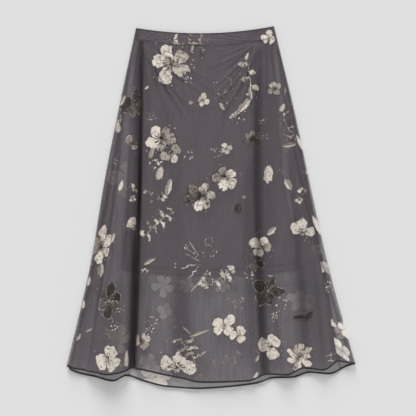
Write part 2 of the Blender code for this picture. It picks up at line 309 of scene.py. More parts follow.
def hanging_rows(point, place, hem, rows, crowding=1.0):
    """Heights of a panel's rows down every column, from the waistband's seam to the hem.

    A crowding above 1 puts more of them near the waist.
    """
    y = np.full(place.shape, seam_y(0.0))
    for _ in range(SEAM_STEPS):
        y = seam_y(point(place, y)[:, 0])
    return y[:, None] + (hem - y)[:, None] * np.linspace(0, 1, rows + 1) ** crowding


def outward(point, place, y, side):
    """Unit normals that look away from the inside of the skirt.

    side is -1 on the front and 1 on the back, whose places run the other way round.
    """
    low = np.maximum(place - PLACE_STEP, place.min())
    high = np.minimum(place + PLACE_STEP, place.max())
    across = point(high, y) - point(low, y)
    down = point(place, y - HEIGHT_STEP) - point(place, y + HEIGHT_STEP)
    normal = np.cross(across, down) * side
    return normal / np.linalg.norm(normal, axis=-1, keepdims=True)


print("columns are spread at y =", SPREAD_Y, "mm")

# %% [markdown]
# ## Creases placed one by one
# Two points held the waist, so soft drag lines fan out from both of its corners. Small
# gathers sit below the band, and slow ripples run down to the hem. Each crease is one
# line of the table: it starts, passes and ends at three points, and has its own width
# and height. No two are alike, which is what makes cloth look like cloth. A simulation
# would make its own creases in its own places, so the ones that can be seen are listed
# one by one.

# %% The crease table
Crease = namedtuple("Crease", "name x0 y0 x1 y1 x2 y2 width height")
CREASES = tuple(Crease(*row) for row in (
    ("left_fan_1", -167, 395, -146, 312, -134, 214, 4.2, 2.9),
    ("left_fan_2", -166, 395, -129, 302, -95, 209, 4.6, 3.2),
    ("left_fan_3", -163, 397, -110, 297, -51, 205, 5.2, 3.4),
    ("left_fan_4", -161, 397, -86, 302, -10, 219, 5.0, 2.1),
    ("left_fan_5", -156, 400, -66, 312, 19, 258, 4.8, 2.0),
    ("left_fan_6", -151, 402, -61, 343, 24, 302, 4.6, 1.7),
    ("left_fan_7", -149, 404, -86, 373, -15, 346, 4.0, 1.3),
    ("left_fan_8", -146, 407, -110, 395, -56, 380, 3.6, 1.0),
    ("left_fan_9", -170, 385, -161, 302, -154, 185, 4.0, 2.4),
    ("left_fan_10", -161, 380, -100, 283, -27, 166, 5.6, 2.1),
    ("left_fan_11", -149, 390, -105, 346, -56, 302, 3.6, 1.3),
    ("left_fan_12", -144, 361, -76, 273, 7, 190, 5.8, 1.8),
    ("left_fan_13", -159, 336, -134, 268, -117, 185, 4.0, 1.9),
    ("right_fan_1", 109, 404, 66, 365, 7, 326, 4.2, 2.0),
    ("right_fan_2", 109, 402, 61, 341, -12, 283, 4.8, 2.6),
    ("right_fan_3", 112, 400, 66, 317, -8, 239, 5.0, 2.9),
    ("right_fan_4", 113, 397, 73, 302, 12, 205, 5.0, 2.8),
    ("right_fan_5", 114, 395, 85, 292, 46, 190, 4.8, 2.8),
    ("right_fan_6", 115, 392, 95, 287, 70, 171, 4.8, 2.5),
    ("right_fan_7", 117, 390, 105, 283, 92, 141, 4.8, 2.3),
    ("right_fan_8", 107, 407, 70, 387, 14, 368, 3.8, 1.5),
    ("right_fan_9", 108, 404, 51, 365, -22, 336, 4.0, 1.6),
    ("right_fan_10", 112, 385, 66, 302, -12, 200, 5.4, 1.8),
    ("right_fan_11", 100, 375, 56, 322, 7, 273, 3.6, 1.8),
    ("right_fan_12", 95, 351, 61, 283, 12, 209, 4.0, 1.7),
    ("right_gather_1", 124, 404, 122, 356, 117, 273, 3.6, 2.3),
    ("right_gather_2", 131, 404, 134, 351, 139, 258, 3.8, 2.4),
    ("right_gather_3", 141, 407, 146, 356, 153, 283, 3.6, 2.0),
    ("right_gather_4", 148, 409, 161, 356, 175, 268, 3.8, 1.7),
    ("left_gather_1", -176, 407, -183, 356, -193, 278, 3.6, 1.9),
    ("left_gather_2", -179, 409, -190, 356, -205, 287, 3.6, 1.6),
    ("top_pleat_1", -86, 400, -81, 380, -73, 346, 3.2, 1.0),
    ("top_pleat_2", -25, 395, -22, 373, -17, 341, 3.2, 1.1),
    ("top_pleat_3", 14, 395, 12, 370, 7, 346, 3.2, 1.1),
    ("top_pleat_4", 48, 397, 44, 378, 36, 351, 3.2, 1.0),
    ("low_right_1", 190, -132, 197, -224, 207, -307, 10, 1.6),
    ("low_right_2", 161, -102, 170, -224, 185, -351, 12, 1.9),
    ("low_right_3", 251, -102, 260, -224, 270, -346, 12, 1.6),
    ("low_right_4", 139, 141, 146, 7, 158, -132, 9, 1.5),
    ("low_right_5", 170, 214, 195, 56, 214, -102, 7, 1.6),
    ("low_right_6", 207, 19, 229, -127, 253, -297, 7, 1.4),
    ("low_left_1", -149, -163, -154, -261, -159, -370, 10, 1.7),
    ("low_left_2", -105, -188, -105, -285, -107, -385, 12, 1.6),
    ("low_left_3", -144, 141, -144, 7, -151, -114, 7, 1.3),
    ("low_middle_1", 2, -200, 5, -297, 7, -395, 13, 1.4),
    ("low_middle_2", 61, -175, 70, -297, 78, -395, 13, 1.4),
    ("low_middle_3", -51, -224, -49, -297, -44, -385, 9, 1.1),
    ("low_middle_4", 31, -248, 36, -322, 44, -409, 8, 1.1),
    ("flute_1", -261, -200, -276, -285, -290, -375, 9, 1.7),
    ("flute_2", -227, -151, -234, -261, -241, -385, 9, 1.7),
    ("flute_3", -200, 44, -207, -49, -217, -136, 6, 1.6),
    ("flute_4", -212, 239, -222, 117, -234, -17, 6, 1.6),
    ("flute_5", -251, -78, -263, -175, -278, -278, 7, 1.5),
    ("flute_6", -195, 190, -200, 80, -207, -41, 4.5, 1.3),
    ("middle_1", -51, 214, -37, 93, -29, -41, 12, 1.2),
    ("middle_2", 36, 178, 41, 68, 36, -78, 12, 1.2),
    ("middle_3", 70, 117, 80, -5, 78, -132, 9, 1.2),
    ("middle_4", 7, 166, 7, 68, 2, -54, 8, 0.9),
))
LINE_STEPS = 12
LINE_REACH = 3.0
TAPER_POWER = 0.6


def near_line(x, y, line):
    """Which places a line's width touches, how far off they are, and how far along it."""
    t = np.linspace(0, 1, LINE_STEPS + 1)
    bend_x = 2 * line.x1 - (line.x0 + line.x2) / 2
    bend_y = 2 * line.y1 - (line.y0 + line.y2) / 2
    line_x = (1 - t) ** 2 * line.x0 + 2 * t * (1 - t) * bend_x + t * t * line.x2
    line_y = (1 - t) ** 2 * line.y0 + 2 * t * (1 - t) * bend_y + t * t * line.y2
    reach = LINE_REACH * line.width
    near = ((x > line_x.min() - reach) & (x < line_x.max() + reach)
            & (y > line_y.min() - reach) & (y < line_y.max() + reach))
    run_x = np.diff(line_x)
    run_y = np.diff(line_y)
    from_x = x[near][:, None] - line_x[:-1]
    from_y = y[near][:, None] - line_y[:-1]
    part = np.clip((from_x * run_x + from_y * run_y) / (run_x ** 2 + run_y ** 2), 0, 1)
    away = np.hypot(from_x - part * run_x, from_y - part * run_y)
    nearest = away.argmin(axis=1)
    row = np.arange(len(nearest))
    along = (nearest + part[row, nearest]) / LINE_STEPS
    return near, (away[row, nearest] / line.width) ** 2, along


def crease_height(x, y, creases):
    """How far the creases lift the cloth at each place, in millimetres."""
    total = np.zeros_like(x)
    for crease in creases:
        near, off, along = near_line(x, y, crease)
        taper = np.sin(np.pi * along ** TAPER_POWER)
        total[near] += crease.height * taper * (1 - off) * np.exp(-off)
    return total


print(len(CREASES), "creases, the highest", max(c.height for c in CREASES), "mm")

# %% [markdown]
# ## Slow unevenness
# Between its creases, cloth is never quite flat. A handful of long, low waves with seeded
# directions is enough to break up the light. They run mostly down the skirt, because the
# cloth hung that way.

# %% Low waves
WAVE_COUNT = 16
WAVE_SEED = 41
WAVE_HEIGHT = 0.13


def low_waves(x, y, seed=WAVE_SEED):
    """A gentle unevenness of the cloth, in millimetres."""
    dice = np.random.default_rng(seed)
    total = np.zeros_like(x)
    for _ in range(WAVE_COUNT):
        length = dice.uniform(26, 80)
        lean = dice.normal(0, 0.35)
        phase = dice.uniform(0, 2 * np.pi)
        total += np.sin(2 * np.pi * (x + lean * y) / length + phase + 0.004 * y)
    return WAVE_HEIGHT * total


print(WAVE_COUNT, "waves of up to", WAVE_HEIGHT, "mm each")

# %% [markdown]
# ## One shell of cloth
# Every panel is made the same way: a grid operator lays out the faces, each vertex moves
# to its place on the panel, and a Solidify modifier gives the cloth its thickness
# inwards. The faces must point outwards before the thickness is added. Two UV maps go
# with it: "cloth" holds the distance across and down the cloth in metres, for the weave,
# and "motif" is filled in later, for the print.

# %% The shell builder
Cloth = namedtuple("Cloth", "piece points across column row")
SHEER_THICKNESS = 0.5
LINING_THICKNESS = 0.4
TURN_PENALTY = 100  # keeps the middle of the back's map on the part that lies flat


def grid_shape(columns, rows):
    """A grid of faces with its column and row numbers, the first row at the top."""
    shape = bmesh.new()
    bmesh.ops.create_grid(shape, x_segments=columns, y_segments=rows, size=0.5)
    column = [round((vertex.co.x + 0.5) * columns) for vertex in shape.verts]
    row = [round((0.5 - vertex.co.y) * rows) for vertex in shape.verts]
    return shape, np.array(column), np.array(row)


def place_vertices(shape, places):
    """Move every vertex to its place, from the tables' millimetres to the frame's metres."""
    shift = np.array((-MIDDLE_X, -MIDDLE_Y, 0.0))
    for vertex, place in zip(shape.verts, (places + shift) * MM):
        vertex.co = place


def new_piece(name, shape):
    """Link a finished bmesh as an object at the origin."""
    mesh = bpy.data.meshes.new(name)
    shape.to_mesh(mesh)
    shape.free()
    mesh.shade_smooth()
    piece = bpy.data.objects.new(name, mesh)
    bpy.context.collection.objects.link(piece)
    return piece


def thicken(piece, thickness):
    """Give a surface its thickness, inwards from the outer face."""
    wall = piece.modifiers.new("thickness", "SOLIDIFY")
    wall.thickness = thickness * MM
    wall.offset = -1


def cloth_shell(name, points, side, thickness):
    """A thin shell on a grid of outer points; side is -1 if it faces up, 1 if down."""
    columns = points.shape[0] - 1
    rows = points.shape[1] - 1
    shape, column, row = grid_shape(columns, rows)
    place_vertices(shape, points[column, row])
    if side > 0:
        bmesh.ops.reverse_faces(shape, faces=shape.faces)
    piece = new_piece(name, shape)
    steps = np.linalg.norm(np.diff(points[..., [0, 2]], axis=0), axis=-1)
    across = np.concatenate([np.zeros((1, rows + 1)), np.cumsum(steps, axis=0)])
    middle = np.abs(points[:, rows // 2, 0] - WAIST_MIDDLE_X)
    if side > 0:
        middle = middle + np.abs(points[:, rows // 2, 2]) * TURN_PENALTY
    middle = int(middle.argmin())
    across = across - across[middle] + points[middle, :, 0]
    add_cloth_map(piece, across[column, row], -points[column, row, 1])
    thicken(piece, thickness)
    return Cloth(piece, points, across, column, row)


def corner_vertices(mesh):
    """The vertex at every face corner, in the order in which UV maps store them."""
    corners = np.empty(len(mesh.loops), dtype=np.int32)
    mesh.loops.foreach_get("vertex_index", corners)
    return corners


def add_cloth_map(piece, across, down):
    """Store the distance across and down the cloth, in metres, as a UV map."""
    corners = corner_vertices(piece.data)
    layer = piece.data.uv_layers.new(name="cloth")
    values = np.stack([across[corners], down[corners]], axis=-1) * MM
    layer.data.foreach_set("uv", values.ravel())


print("sheer cloth is", SHEER_THICKNESS, "mm thick, lining", LINING_THICKNESS, "mm")

# %% [markdown]
# ## The front panel
# The front is the piece that everyone looks at, so it gets the most rows and columns: a
# face is about 3 mm wide, little more than a pixel of the photograph. The creases are
# added along z and fade out where the cloth stands steeply, as in the groove beside the
# flute. A floor below the surface keeps every trough clear of the lining.

# %% Front cloth
FRONT_COLUMNS = 234
FRONT_ROWS = 206
WAIST_CROWDING = 1.25
TURN_EXTRA = 12.0
TROUGH_LIMIT = 0.7
BAND_MARGIN = 12.0

front_place = even_places(front_point, -1.0, len(FOLDS), FRONT_COLUMNS, TURN_EXTRA)
front_knots = np.arange(-1, len(FOLDS) + 1)
front_hem_y = smooth(
    front_knots, [LEFT_CORNER_Y, ROLL_TOP_Y] + [fold.hem_y for fold in FOLDS], front_place)
front_y = hanging_rows(
    front_point, front_place, front_hem_y, FRONT_ROWS, WAIST_CROWDING)
front_grid = np.broadcast_to(front_place[:, None], front_y.shape)
front_points = front_point(front_grid, front_y)
front_normal = outward(front_point, front_grid, front_y, -1)

upward = np.clip(front_normal[..., 2], 0, 1) ** 2
lift = crease_height(front_points[..., 0], front_points[..., 1], CREASES)
lift += low_waves(front_points[..., 0], front_points[..., 1])
below_band = np.clip((front_points[:, :1, 1] - front_points[..., 1]) / BAND_MARGIN, 0, 1)
on_front = np.clip(front_grid, 0, 1) * np.clip((len(FOLDS) - front_grid) / 0.5, 0, 1)
front_points[..., 2] += lift * upward * below_band * on_front
lowest = rest_height(front_y) - TROUGH_LIMIT
front_points[..., 2] = np.where(
    on_front >= 1, np.maximum(front_points[..., 2], lowest), front_points[..., 2])

skirt_front = cloth_shell("skirt_front_cloth", front_points, -1, SHEER_THICKNESS)
print(skirt_front.piece.name, len(skirt_front.piece.data.polygons), "faces")

# %% [markdown]
# ## The back panel
# The back carries the weight, so it lies flat. Only its hem shows, below the front's, and
# there it lifts off the table by a few millimetres in uneven ripples. It is laid out
# flat, turned round both sides and joined to the front on the right.

# %% Back cloth
BACK_COLUMNS = 190
BACK_ROWS = 190
RIPPLE_REACH = 16.0
Ripple = namedtuple("Ripple", "x width height")
RIPPLES = (
    Ripple(-318.0, 20.0, 2.6),
    Ripple(-262.0, 24.0, 3.6),
    Ripple(-196.0, 15.0, 2.4),
    Ripple(-118.0, 34.0, 3.4),
    Ripple(-40.0, 38.0, 4.2),
    Ripple(46.0, 34.0, 3.6),
    Ripple(124.0, 24.0, 3.8),
    Ripple(188.0, 15.0, 2.2),
    Ripple(243.0, 22.0, 3.4),
    Ripple(300.0, 18.0, 2.6),
)


def back_hem_y(place):
    """The back's hem: along the table, up the left turn, and up the strip on the right."""
    corner_x = back_point(place, np.full(place.shape, BACK_HEM[-1].y))[:, 0]
    floor_hem = smooth([p.x for p in BACK_HEM], [p.y for p in BACK_HEM], corner_x)
    strip_hem = BACK_HEM[-1].y + (FOLDS[-1].hem_y - BACK_HEM[-1].y) * (place - 2)
    return np.where(place > 2, strip_hem, np.where(place < 0, LEFT_CORNER_Y, floor_hem))


back_place = even_places(back_point, -1.0, 3.0, BACK_COLUMNS, 40.0)
back_y = hanging_rows(back_point, back_place, back_hem_y(back_place), BACK_ROWS)
back_grid = np.broadcast_to(back_place[:, None], back_y.shape)
back_points = back_point(back_grid, back_y)
at_hem = np.clip(1 - (back_y - back_y[:, -1:]) / RIPPLE_REACH, 0, 1) ** 2
ripple = sum(r.height * np.exp(-((back_points[..., 0] - r.x) / r.width) ** 2) for r in RIPPLES)
inside_turns = np.clip(back_grid / 0.04, 0, 1) * np.clip((1 - back_grid) / 0.04, 0, 1)
back_points[..., 2] += ripple * at_hem * inside_turns

skirt_back = cloth_shell("skirt_back_cloth", back_points, 1, SHEER_THICKNESS)
print(skirt_back.piece.name, len(skirt_back.piece.data.polygons), "faces")

# %% [markdown]
# ## The lining
# Two plain panels hang between the front and the back and end well above the hem. They
# are narrower than the skirt and lie flat on each other. Their lower edges are turned up,
# which shows through the sheer front as two lines.

# %% Lining panels
LINING_FRONT_HEM_Y = -149.0
LINING_BACK_HEM_Y = -165.0
LINING_HEM_LIFT = 17.0
LINING_COLUMNS = 90
LINING_ROWS = 120
LINING_WAVE_SEED = 17
LINING_INSET = 0.4
LINING_WAVE_SHARE = 0.35


def lining_points(top_z, hem_middle, seed):
    """Outer points of a flat lining panel."""
    across = np.linspace(0, 1, LINING_COLUMNS + 1)[:, None]
    down = np.linspace(0, 1, LINING_ROWS + 1)[None, :]
    hem = hem_middle + LINING_HEM_LIFT * (2 * across - 1) ** 2
    top_x = LINING_LEFT.waist + (LINING_RIGHT.waist - LINING_LEFT.waist) * across
    top = seam_y(top_x) - GAP
    y = top + (hem - top) * down
    left = at_height(LINING_LEFT, y)
    x = left + (at_height(LINING_RIGHT, y) - left) * across
    z = top_z + LINING_WAVE_SHARE * low_waves(x, y, seed)
    return np.stack([x, y, z], axis=-1)


lining_front = cloth_shell(
    "lining_front_cloth",
    lining_points(LINING_FRONT_Z + WALL - LINING_INSET, LINING_FRONT_HEM_Y, LINING_WAVE_SEED),
    -1, LINING_THICKNESS)
lining_back = cloth_shell(
    "lining_back_cloth",
    lining_points(LINING_BACK_Z + LINING_INSET, LINING_BACK_HEM_Y, LINING_WAVE_SEED + 1),
    1, LINING_THICKNESS)
print("lining:", len(lining_front.piece.data.polygons), "faces a panel")

# %% [markdown]
# ## The waistband
# A waistband is a doubled strip with interfacing inside, so it is thicker and stiffer
# than the skirt. Each half is a closed wall: its outer face rounds over at the sides and
# at the top, where the strip was folded. The drag lines at the corners run on into it as
# low creases.

# %% Waistband halves
BAND_WALL = 2.7
BAND_BACK_DROP = 3.0
BAND_CORNER_START = 12.0
BAND_COLUMNS = 150
BAND_ROWS = 16
BAND_TURN_COLUMNS = 7
BAND_TOP_ROWS = 5
BAND_CREASES = (
    Crease("left_corner_1", -178, 414, -160, 409, -138, 407, 5, 0.5),
    Crease("left_corner_2", -176, 404, -158, 404, -128, 399, 4, 0.4),
    Crease("right_corner_1", 148, 418, 122, 410, 84, 398, 6, 0.6),
    Crease("right_corner_2", 150, 408, 132, 403, 104, 397, 4, 0.4),
    Crease("middle_1", -60, 409, -20, 405, 30, 404, 6, 0.3),
)


def band_points(drop, bow):
    """Outer and inner points of one half of the waistband, lying face up."""
    angle = np.radians(np.linspace(BAND_CORNER_START, 90, BAND_TURN_COLUMNS + 1))
    inset = BAND_WALL * (1 - np.cos(angle))
    height = BAND_WALL * np.sin(angle)
    middle = np.linspace(0, 1, BAND_COLUMNS + 1)[1:-1]
    share = np.concatenate([np.zeros(angle.shape), middle, np.ones(angle.shape)])
    offset = np.concatenate([inset, BAND_WALL * (1 - 2 * middle), -inset[::-1]])
    height = np.concatenate([height, np.full(middle.shape, BAND_WALL), height[::-1]])
    top_angle = np.radians(np.linspace(0, 90, BAND_TOP_ROWS + 1))
    depth = np.concatenate([
        BAND_WALL / 2 * (1 - np.cos(top_angle)),
        np.linspace(BAND_WALL / 2, BAND_HEIGHT, BAND_ROWS + 1)[1:],
    ])
    fullness = np.concatenate([0.5 + 0.5 * np.sin(top_angle), np.ones(BAND_ROWS)])
    outer = []
    inner = []
    for part, full in zip(depth, fullness):
        y = np.full(share.shape, WAIST_MIDDLE_Y)
        for _ in range(SEAM_STEPS):
            left = at_height(SKIRT_LEFT, y)
            x = left + (at_height(SKIRT_RIGHT, y) - left) * share + offset
            y = waist_y(x) - drop - part * (BAND_HEIGHT - drop) / BAND_HEIGHT
        crease = crease_height(x, y, BAND_CREASES) * bow * np.clip(height / BAND_WALL, 0, 1)
        outer.append(np.stack([x, y, height * full + crease * (full >= 1)], axis=-1))
        inner.append(np.stack([x, y, height * (1 - full) * 0.9], axis=-1))
    return np.stack(outer, axis=1), np.stack(inner, axis=1)


def band_half(name, back):
    """One closed half of the waistband, on its own layer of the skirt."""
    outer, inner = band_points(BAND_BACK_DROP if back else 0.0, 0.3 if back else 1.0)
    if back:
        outer[..., 2] = BAND_WALL - outer[..., 2]
        inner[..., 2] = BAND_WALL - inner[..., 2]
    else:
        outer[..., 2] += BAND_WALL + GAP
        inner[..., 2] += BAND_WALL + GAP
    columns = outer.shape[0] - 1
    rows = outer.shape[1] - 1
    shape, column, row = grid_shape(columns, rows)
    layer = bmesh.ops.extrude_face_region(shape, geom=shape.faces[:], use_keep_orig=True)
    lower = [item for item in layer["geom"] if isinstance(item, bmesh.types.BMVert)]
    column = np.concatenate([column, [round((v.co.x + 0.5) * columns) for v in lower]])
    row = np.concatenate([row, [round((0.5 - v.co.y) * rows) for v in lower]])
    under = np.concatenate([np.zeros(len(column) - len(lower), bool), np.ones(len(lower), bool)])
    places = np.where(under[:, None], inner[column, row], outer[column, row])
    place_vertices(shape, places)
    bmesh.ops.recalc_face_normals(shape, faces=shape.faces)
    if shape.calc_volume(signed=True) < 0:
        bmesh.ops.reverse_faces(shape, faces=shape.faces)
    piece = new_piece(name, shape)
    add_cloth_map(piece, places[:, 0], -places[:, 1])
    across = np.broadcast_to(outer[..., 0], outer.shape[:2])
    return Cloth(piece, outer, across, column, row)


band_front = band_half("waistband_front_cloth", back=False)
band_back = band_half("waistband_back_cloth", back=True)
print("waistband:", len(band_front.piece.data.polygons), "faces a half")

# %% [markdown]
# ## Charting the print
# The print scatters blossoms, sprays, buds, leaves and specks over the cloth, cream to
# dark, with bare ground between them. It could be painted in an image, but an image has
# one fixed sharpness and has to be stored. Here each motif is one line of a table: its
# kind, its place on the laid skirt, its radius, how narrow and how turned it is, how many
# petals or buds it has, how far they spread, and its tone from 0, cream, to 1, dark. The
# shapes themselves are drawn later by one shader, so every motif is generic and none is
# copied. A tone below 0 keeps a motif of the back pale: painted light that lifts it out
# of the shade that the front casts on it.

# %% The motif tables
Motif = namedtuple("Motif", "kind x y radius narrow turn parts spread tone")
KINDS = ("blossom", "bud", "leaf", "spray", "star", "specks")
FRONT_MOTIFS = tuple(Motif(*row) for row in (
    ("blossom", -101, 351, 49, 1, 98, 5, 3.2, 0.1),
    ("specks", -59, 317, 19, 0.6, -70, 4, 1, 0.15),
    ("spray", -56, 400, 41, 0.6, -10, 6, 0.42, 0.34),
    ("blossom", 140, 414, 22, 0.75, 84, 3, 3.2, 0.03),
    ("spray", 92, 312, 46, 0.42, 98, 5, 0.4, 0.04),
    ("leaf", 95, 283, 22, 0.3, 96, 3, 1, 0.02),
    ("leaf", 80, 248, 27, 0.34, 46, 3, 1, 0.02),
    ("leaf", 63, 229, 15, 0.3, 38, 3, 1, 0.05),
    ("star", 51, 287, 37, 0.95, 150, 7, 1.7, 0.22),
    ("spray", 27, 270, 22, 0.6, -52, 4, 0.4, 0.4),
    ("bud", 87, 368, 10, 0.5, 70, 3, 1, 0.02),
    ("specks", 66, 222, 24, 0.7, 30, 4, 1, 0.1),
    ("bud", 27, 246, 12, 0.5, -60, 3, 1, 0.25),
    ("blossom", -20, 261, 17, 0.9, 80, 4, 3.2, 0.1),
    ("bud", -49, 256, 6, 0.9, 0, 3, 1, 0.3),
    ("blossom", -190, 251, 34, 0.82, 85, 6, 3.2, 0.84),
    ("leaf", -217, 261, 15, 0.5, 60, 3, 1, 0.08),
    ("specks", -224, 227, 22, 0.5, 80, 4, 1, 0.1),
    ("bud", -227, 197, 15, 0.6, 80, 3, 1, 0.15),
    ("specks", 170, -239, 19, 0.8, 40, 4, 1, 0.05),
    ("specks", -151, 217, 17, 0.7, 80, 4, 1, 0.1),
    ("bud", -156, 292, 6, 0.6, 50, 3, 1, 0.05),
    ("blossom", -122, 168, 41, 0.95, 62, 5, 3.2, 0.2),
    ("blossom", -98, 134, 32, 0.85, -48, 4, 1.9, 0.16),
    ("bud", -144, 134, 15, 0.5, 70, 3, 1, 0.3),
    ("specks", -134, 105, 22, 0.6, 0, 4, 1, 0.05),
    ("specks", -56, 129, 17, 0.8, 0, 4, 1, 0.2),
    ("blossom", 153, 290, 22, 0.8, 30, 4, 3.2, 0.3),
    ("leaf", 180, 287, 15, 0.2, 78, 3, 1, 0.25),
    ("bud", 173, 244, 12, 0.6, 60, 3, 1, 0.1),
    ("spray", 190, 195, 37, 0.5, -68, 4, 0.22, 0.1),
    ("specks", 124, 212, 12, 0.7, 0, 4, 1, 0.1),
    ("leaf", 190, 153, 19, 0.35, 10, 3, 1, 0.2),
    ("blossom", 100, 168, 24, 0.85, 90, 6, 3.2, 0.62),
    ("specks", 131, 173, 15, 0.5, 0, 4, 1, 0.15),
    ("blossom", 36, 144, 15, 0.9, 20, 4, 3.2, 0.08),
    ("specks", 12, 136, 19, 0.7, 20, 4, 1, 0.1),
    ("bud", 217, 158, 22, 0.35, 80, 3, 1, 0.05),
    ("blossom", -195, 153, 24, 0.9, 30, 5, 1.5, 0.7),
    ("specks", -232, 112, 12, 0.5, 80, 4, 1, 0.1),
    ("bud", -219, 54, 15, 0.55, 65, 3, 1, 0.03),
    ("blossom", -183, 49, 12, 1, 0, 5, 3.2, 0.4),
    ("blossom", -190, 22, 9, 1, 0, 5, 3.2, 0.2),
    ("specks", -202, 51, 12, 0.6, 0, 4, 1, 0.3),
    ("bud", -124, 85, 19, 0.6, 80, 3, 1, 0.1),
    ("leaf", -103, 51, 22, 0.4, 75, 3, 1, 0.04),
    ("spray", -149, 32, 19, 0.6, -50, 3, 0.3, 0.2),
    ("blossom", -120, 27, 13, 1, 0, 5, 3.2, 0.4),
    ("blossom", -25, 29, 39, 1, 15, 6, 3.2, 0.34),
    ("blossom", 34, 76, 32, 1, -40, 5, 3.2, 0.2),
    ("leaf", 22, 41, 12, 0.2, 50, 3, 1, 0.6),
    ("spray", -129, -39, 49, 0.34, 36, 9, 0.5, 0.1),
    ("blossom", -185, -49, 27, 1, 115, 3, 1.6, 0.03),
    ("blossom", -266, -93, 44, 0.7, 80, 6, 3.2, 0.2),
    ("leaf", -239, -73, 15, 0.5, 60, 3, 1, 0.06),
    ("leaf", -268, -151, 19, 0.5, 80, 3, 1, 0.12),
    ("spray", -44, -110, 29, 0.4, -50, 3, 0.2, 0.3),
    ("specks", 5, -114, 17, 0.8, 60, 4, 1, 0.15),
    ("bud", 139, 83, 24, 0.6, 82, 3, 1, 0.05),
    ("leaf", 187, 58, 17, 0.55, -58, 3, 1, 0.05),
    ("specks", 168, 88, 10, 0.6, 0, 4, 1, 0.2),
    ("blossom", 221, 41, 11, 1, 0, 4, 3.2, 0.35),
    ("blossom", 214, 19, 10, 1, 0, 4, 3.2, 0.3),
    ("bud", 66, 0, 14, 0.8, 80, 3, 1, 0.85),
    ("bud", 80, 27, 6, 1, 0, 3, 1, 0.4),
    ("blossom", 221, -61, 34, 0.95, 88, 5, 2, 0.06),
    ("bud", 256, -41, 29, 0.35, 82, 3, 1, 0.05),
    ("leaf", 146, -56, 15, 0.55, 40, 3, 1, 0.05),
    ("blossom", 124, -93, 29, 0.95, 70, 4, 3.2, 0.12),
    ("blossom", 109, -132, 22, 0.9, -30, 4, 2.2, 0.75),
    ("specks", 90, -158, 19, 0.7, -40, 4, 1, 0.12),
    ("star", -17, -139, 56, 0.95, 186, 10, 0.8, 0.3),
    ("leaf", -37, -105, 32, 0.07, -57, 3, 1, 0.1),
    ("leaf", -37, -188, 22, 0.16, 48, 3, 1, 0.15),
    ("spray", -12, -158, 37, 0.6, -84, 6, 0.5, 0.04),
    ("specks", -8, -85, 17, 0.6, 60, 4, 1, 0.1),
    ("blossom", -20, -180, 15, 0.8, 20, 4, 3.2, 0.12),
    ("spray", 27, -166, 34, 0.6, 24, 5, 0.55, 0.03),
    ("leaf", -149, -129, 17, 0.3, 28, 3, 1, 0.1),
    ("blossom", -161, -153, 9, 1, 0, 5, 3.2, 0.4),
    ("blossom", -246, -224, 41, 0.85, 85, 6, 3.2, 0.88),
    ("specks", -219, -239, 17, 0.7, 60, 4, 1, 0.08),
    ("specks", -241, -292, 22, 0.7, 60, 4, 1, 0.03),
    ("specks", -149, -300, 17, 0.7, 40, 4, 1, 0.03),
    ("blossom", -249, -363, 39, 0.9, 75, 3, 3.2, 0.02),
    ("bud", -205, -365, 22, 0.35, 88, 3, 1, 0.03),
    ("specks", -142, -273, 19, 0.8, 30, 4, 1, 0.08),
    ("blossom", -168, -322, 24, 0.9, -70, 3, 3.2, 0.35),
    ("leaf", -29, -304, 29, 0.13, 20, 3, 1, 0.12),
    ("leaf", -59, -297, 17, 0.16, -38, 3, 1, 0.2),
    ("spray", -56, -346, 37, 0.8, -68, 7, 0.52, 0.26),
    ("blossom", -83, -390, 51, 0.95, 80, 5, 2.1, 0.04),
    ("blossom", 31, -285, 29, 0.95, 50, 4, 3.2, 0.01),
    ("blossom", 66, -309, 22, 0.9, -60, 3, 3.2, 0.01),
    ("blossom", 139, -202, 41, 0.95, 75, 5, 3.2, 0.86),
    ("specks", 170, -222, 17, 0.8, 20, 4, 1, 0.08),
    ("specks", 151, -263, 17, 0.6, 80, 4, 1, 0.05),
    ("leaf", 217, -268, 22, 0.42, -6, 3, 1, 0.78),
    ("leaf", 238, -263, 17, 0.5, 52, 3, 1, 0.86),
    ("blossom", 146, -336, 34, 0.9, -70, 3, 3.2, 0.02),
    ("blossom", 214, -363, 34, 1, 0, 9, 3.2, 0.12),
    ("blossom", 270, -141, 22, 0.8, 60, 4, 3.2, 0.45),
    ("specks", 280, -190, 19, 0.6, 80, 4, 1, 0.12),
    ("blossom", 297, -273, 17, 0.9, -70, 3, 1.6, 0.08),
    ("blossom", 314, -346, 27, 0.75, 80, 4, 3.2, 0.12),
    ("specks", 292, -363, 15, 0.8, 0, 4, 1, 0.15),
    ("bud", 109, -407, 10, 0.6, 60, 3, 1, 0.05),
    ("leaf", 112, -365, 10, 0.4, 60, 3, 1, 0.1),
    ("bud", -297, -178, 12, 0.45, 80, 3, 1, 0.1),
    ("bud", -310, -234, 11, 0.45, 80, 3, 1, 0.05),
    ("leaf", -322, -314, 11, 0.4, 60, 3, 1, 0.08),
    ("leaf", -297, -297, 10, 0.3, 30, 3, 1, 0.1),
    ("specks", 70, -224, 12, 0.6, 20, 4, 1, 0.2),
))
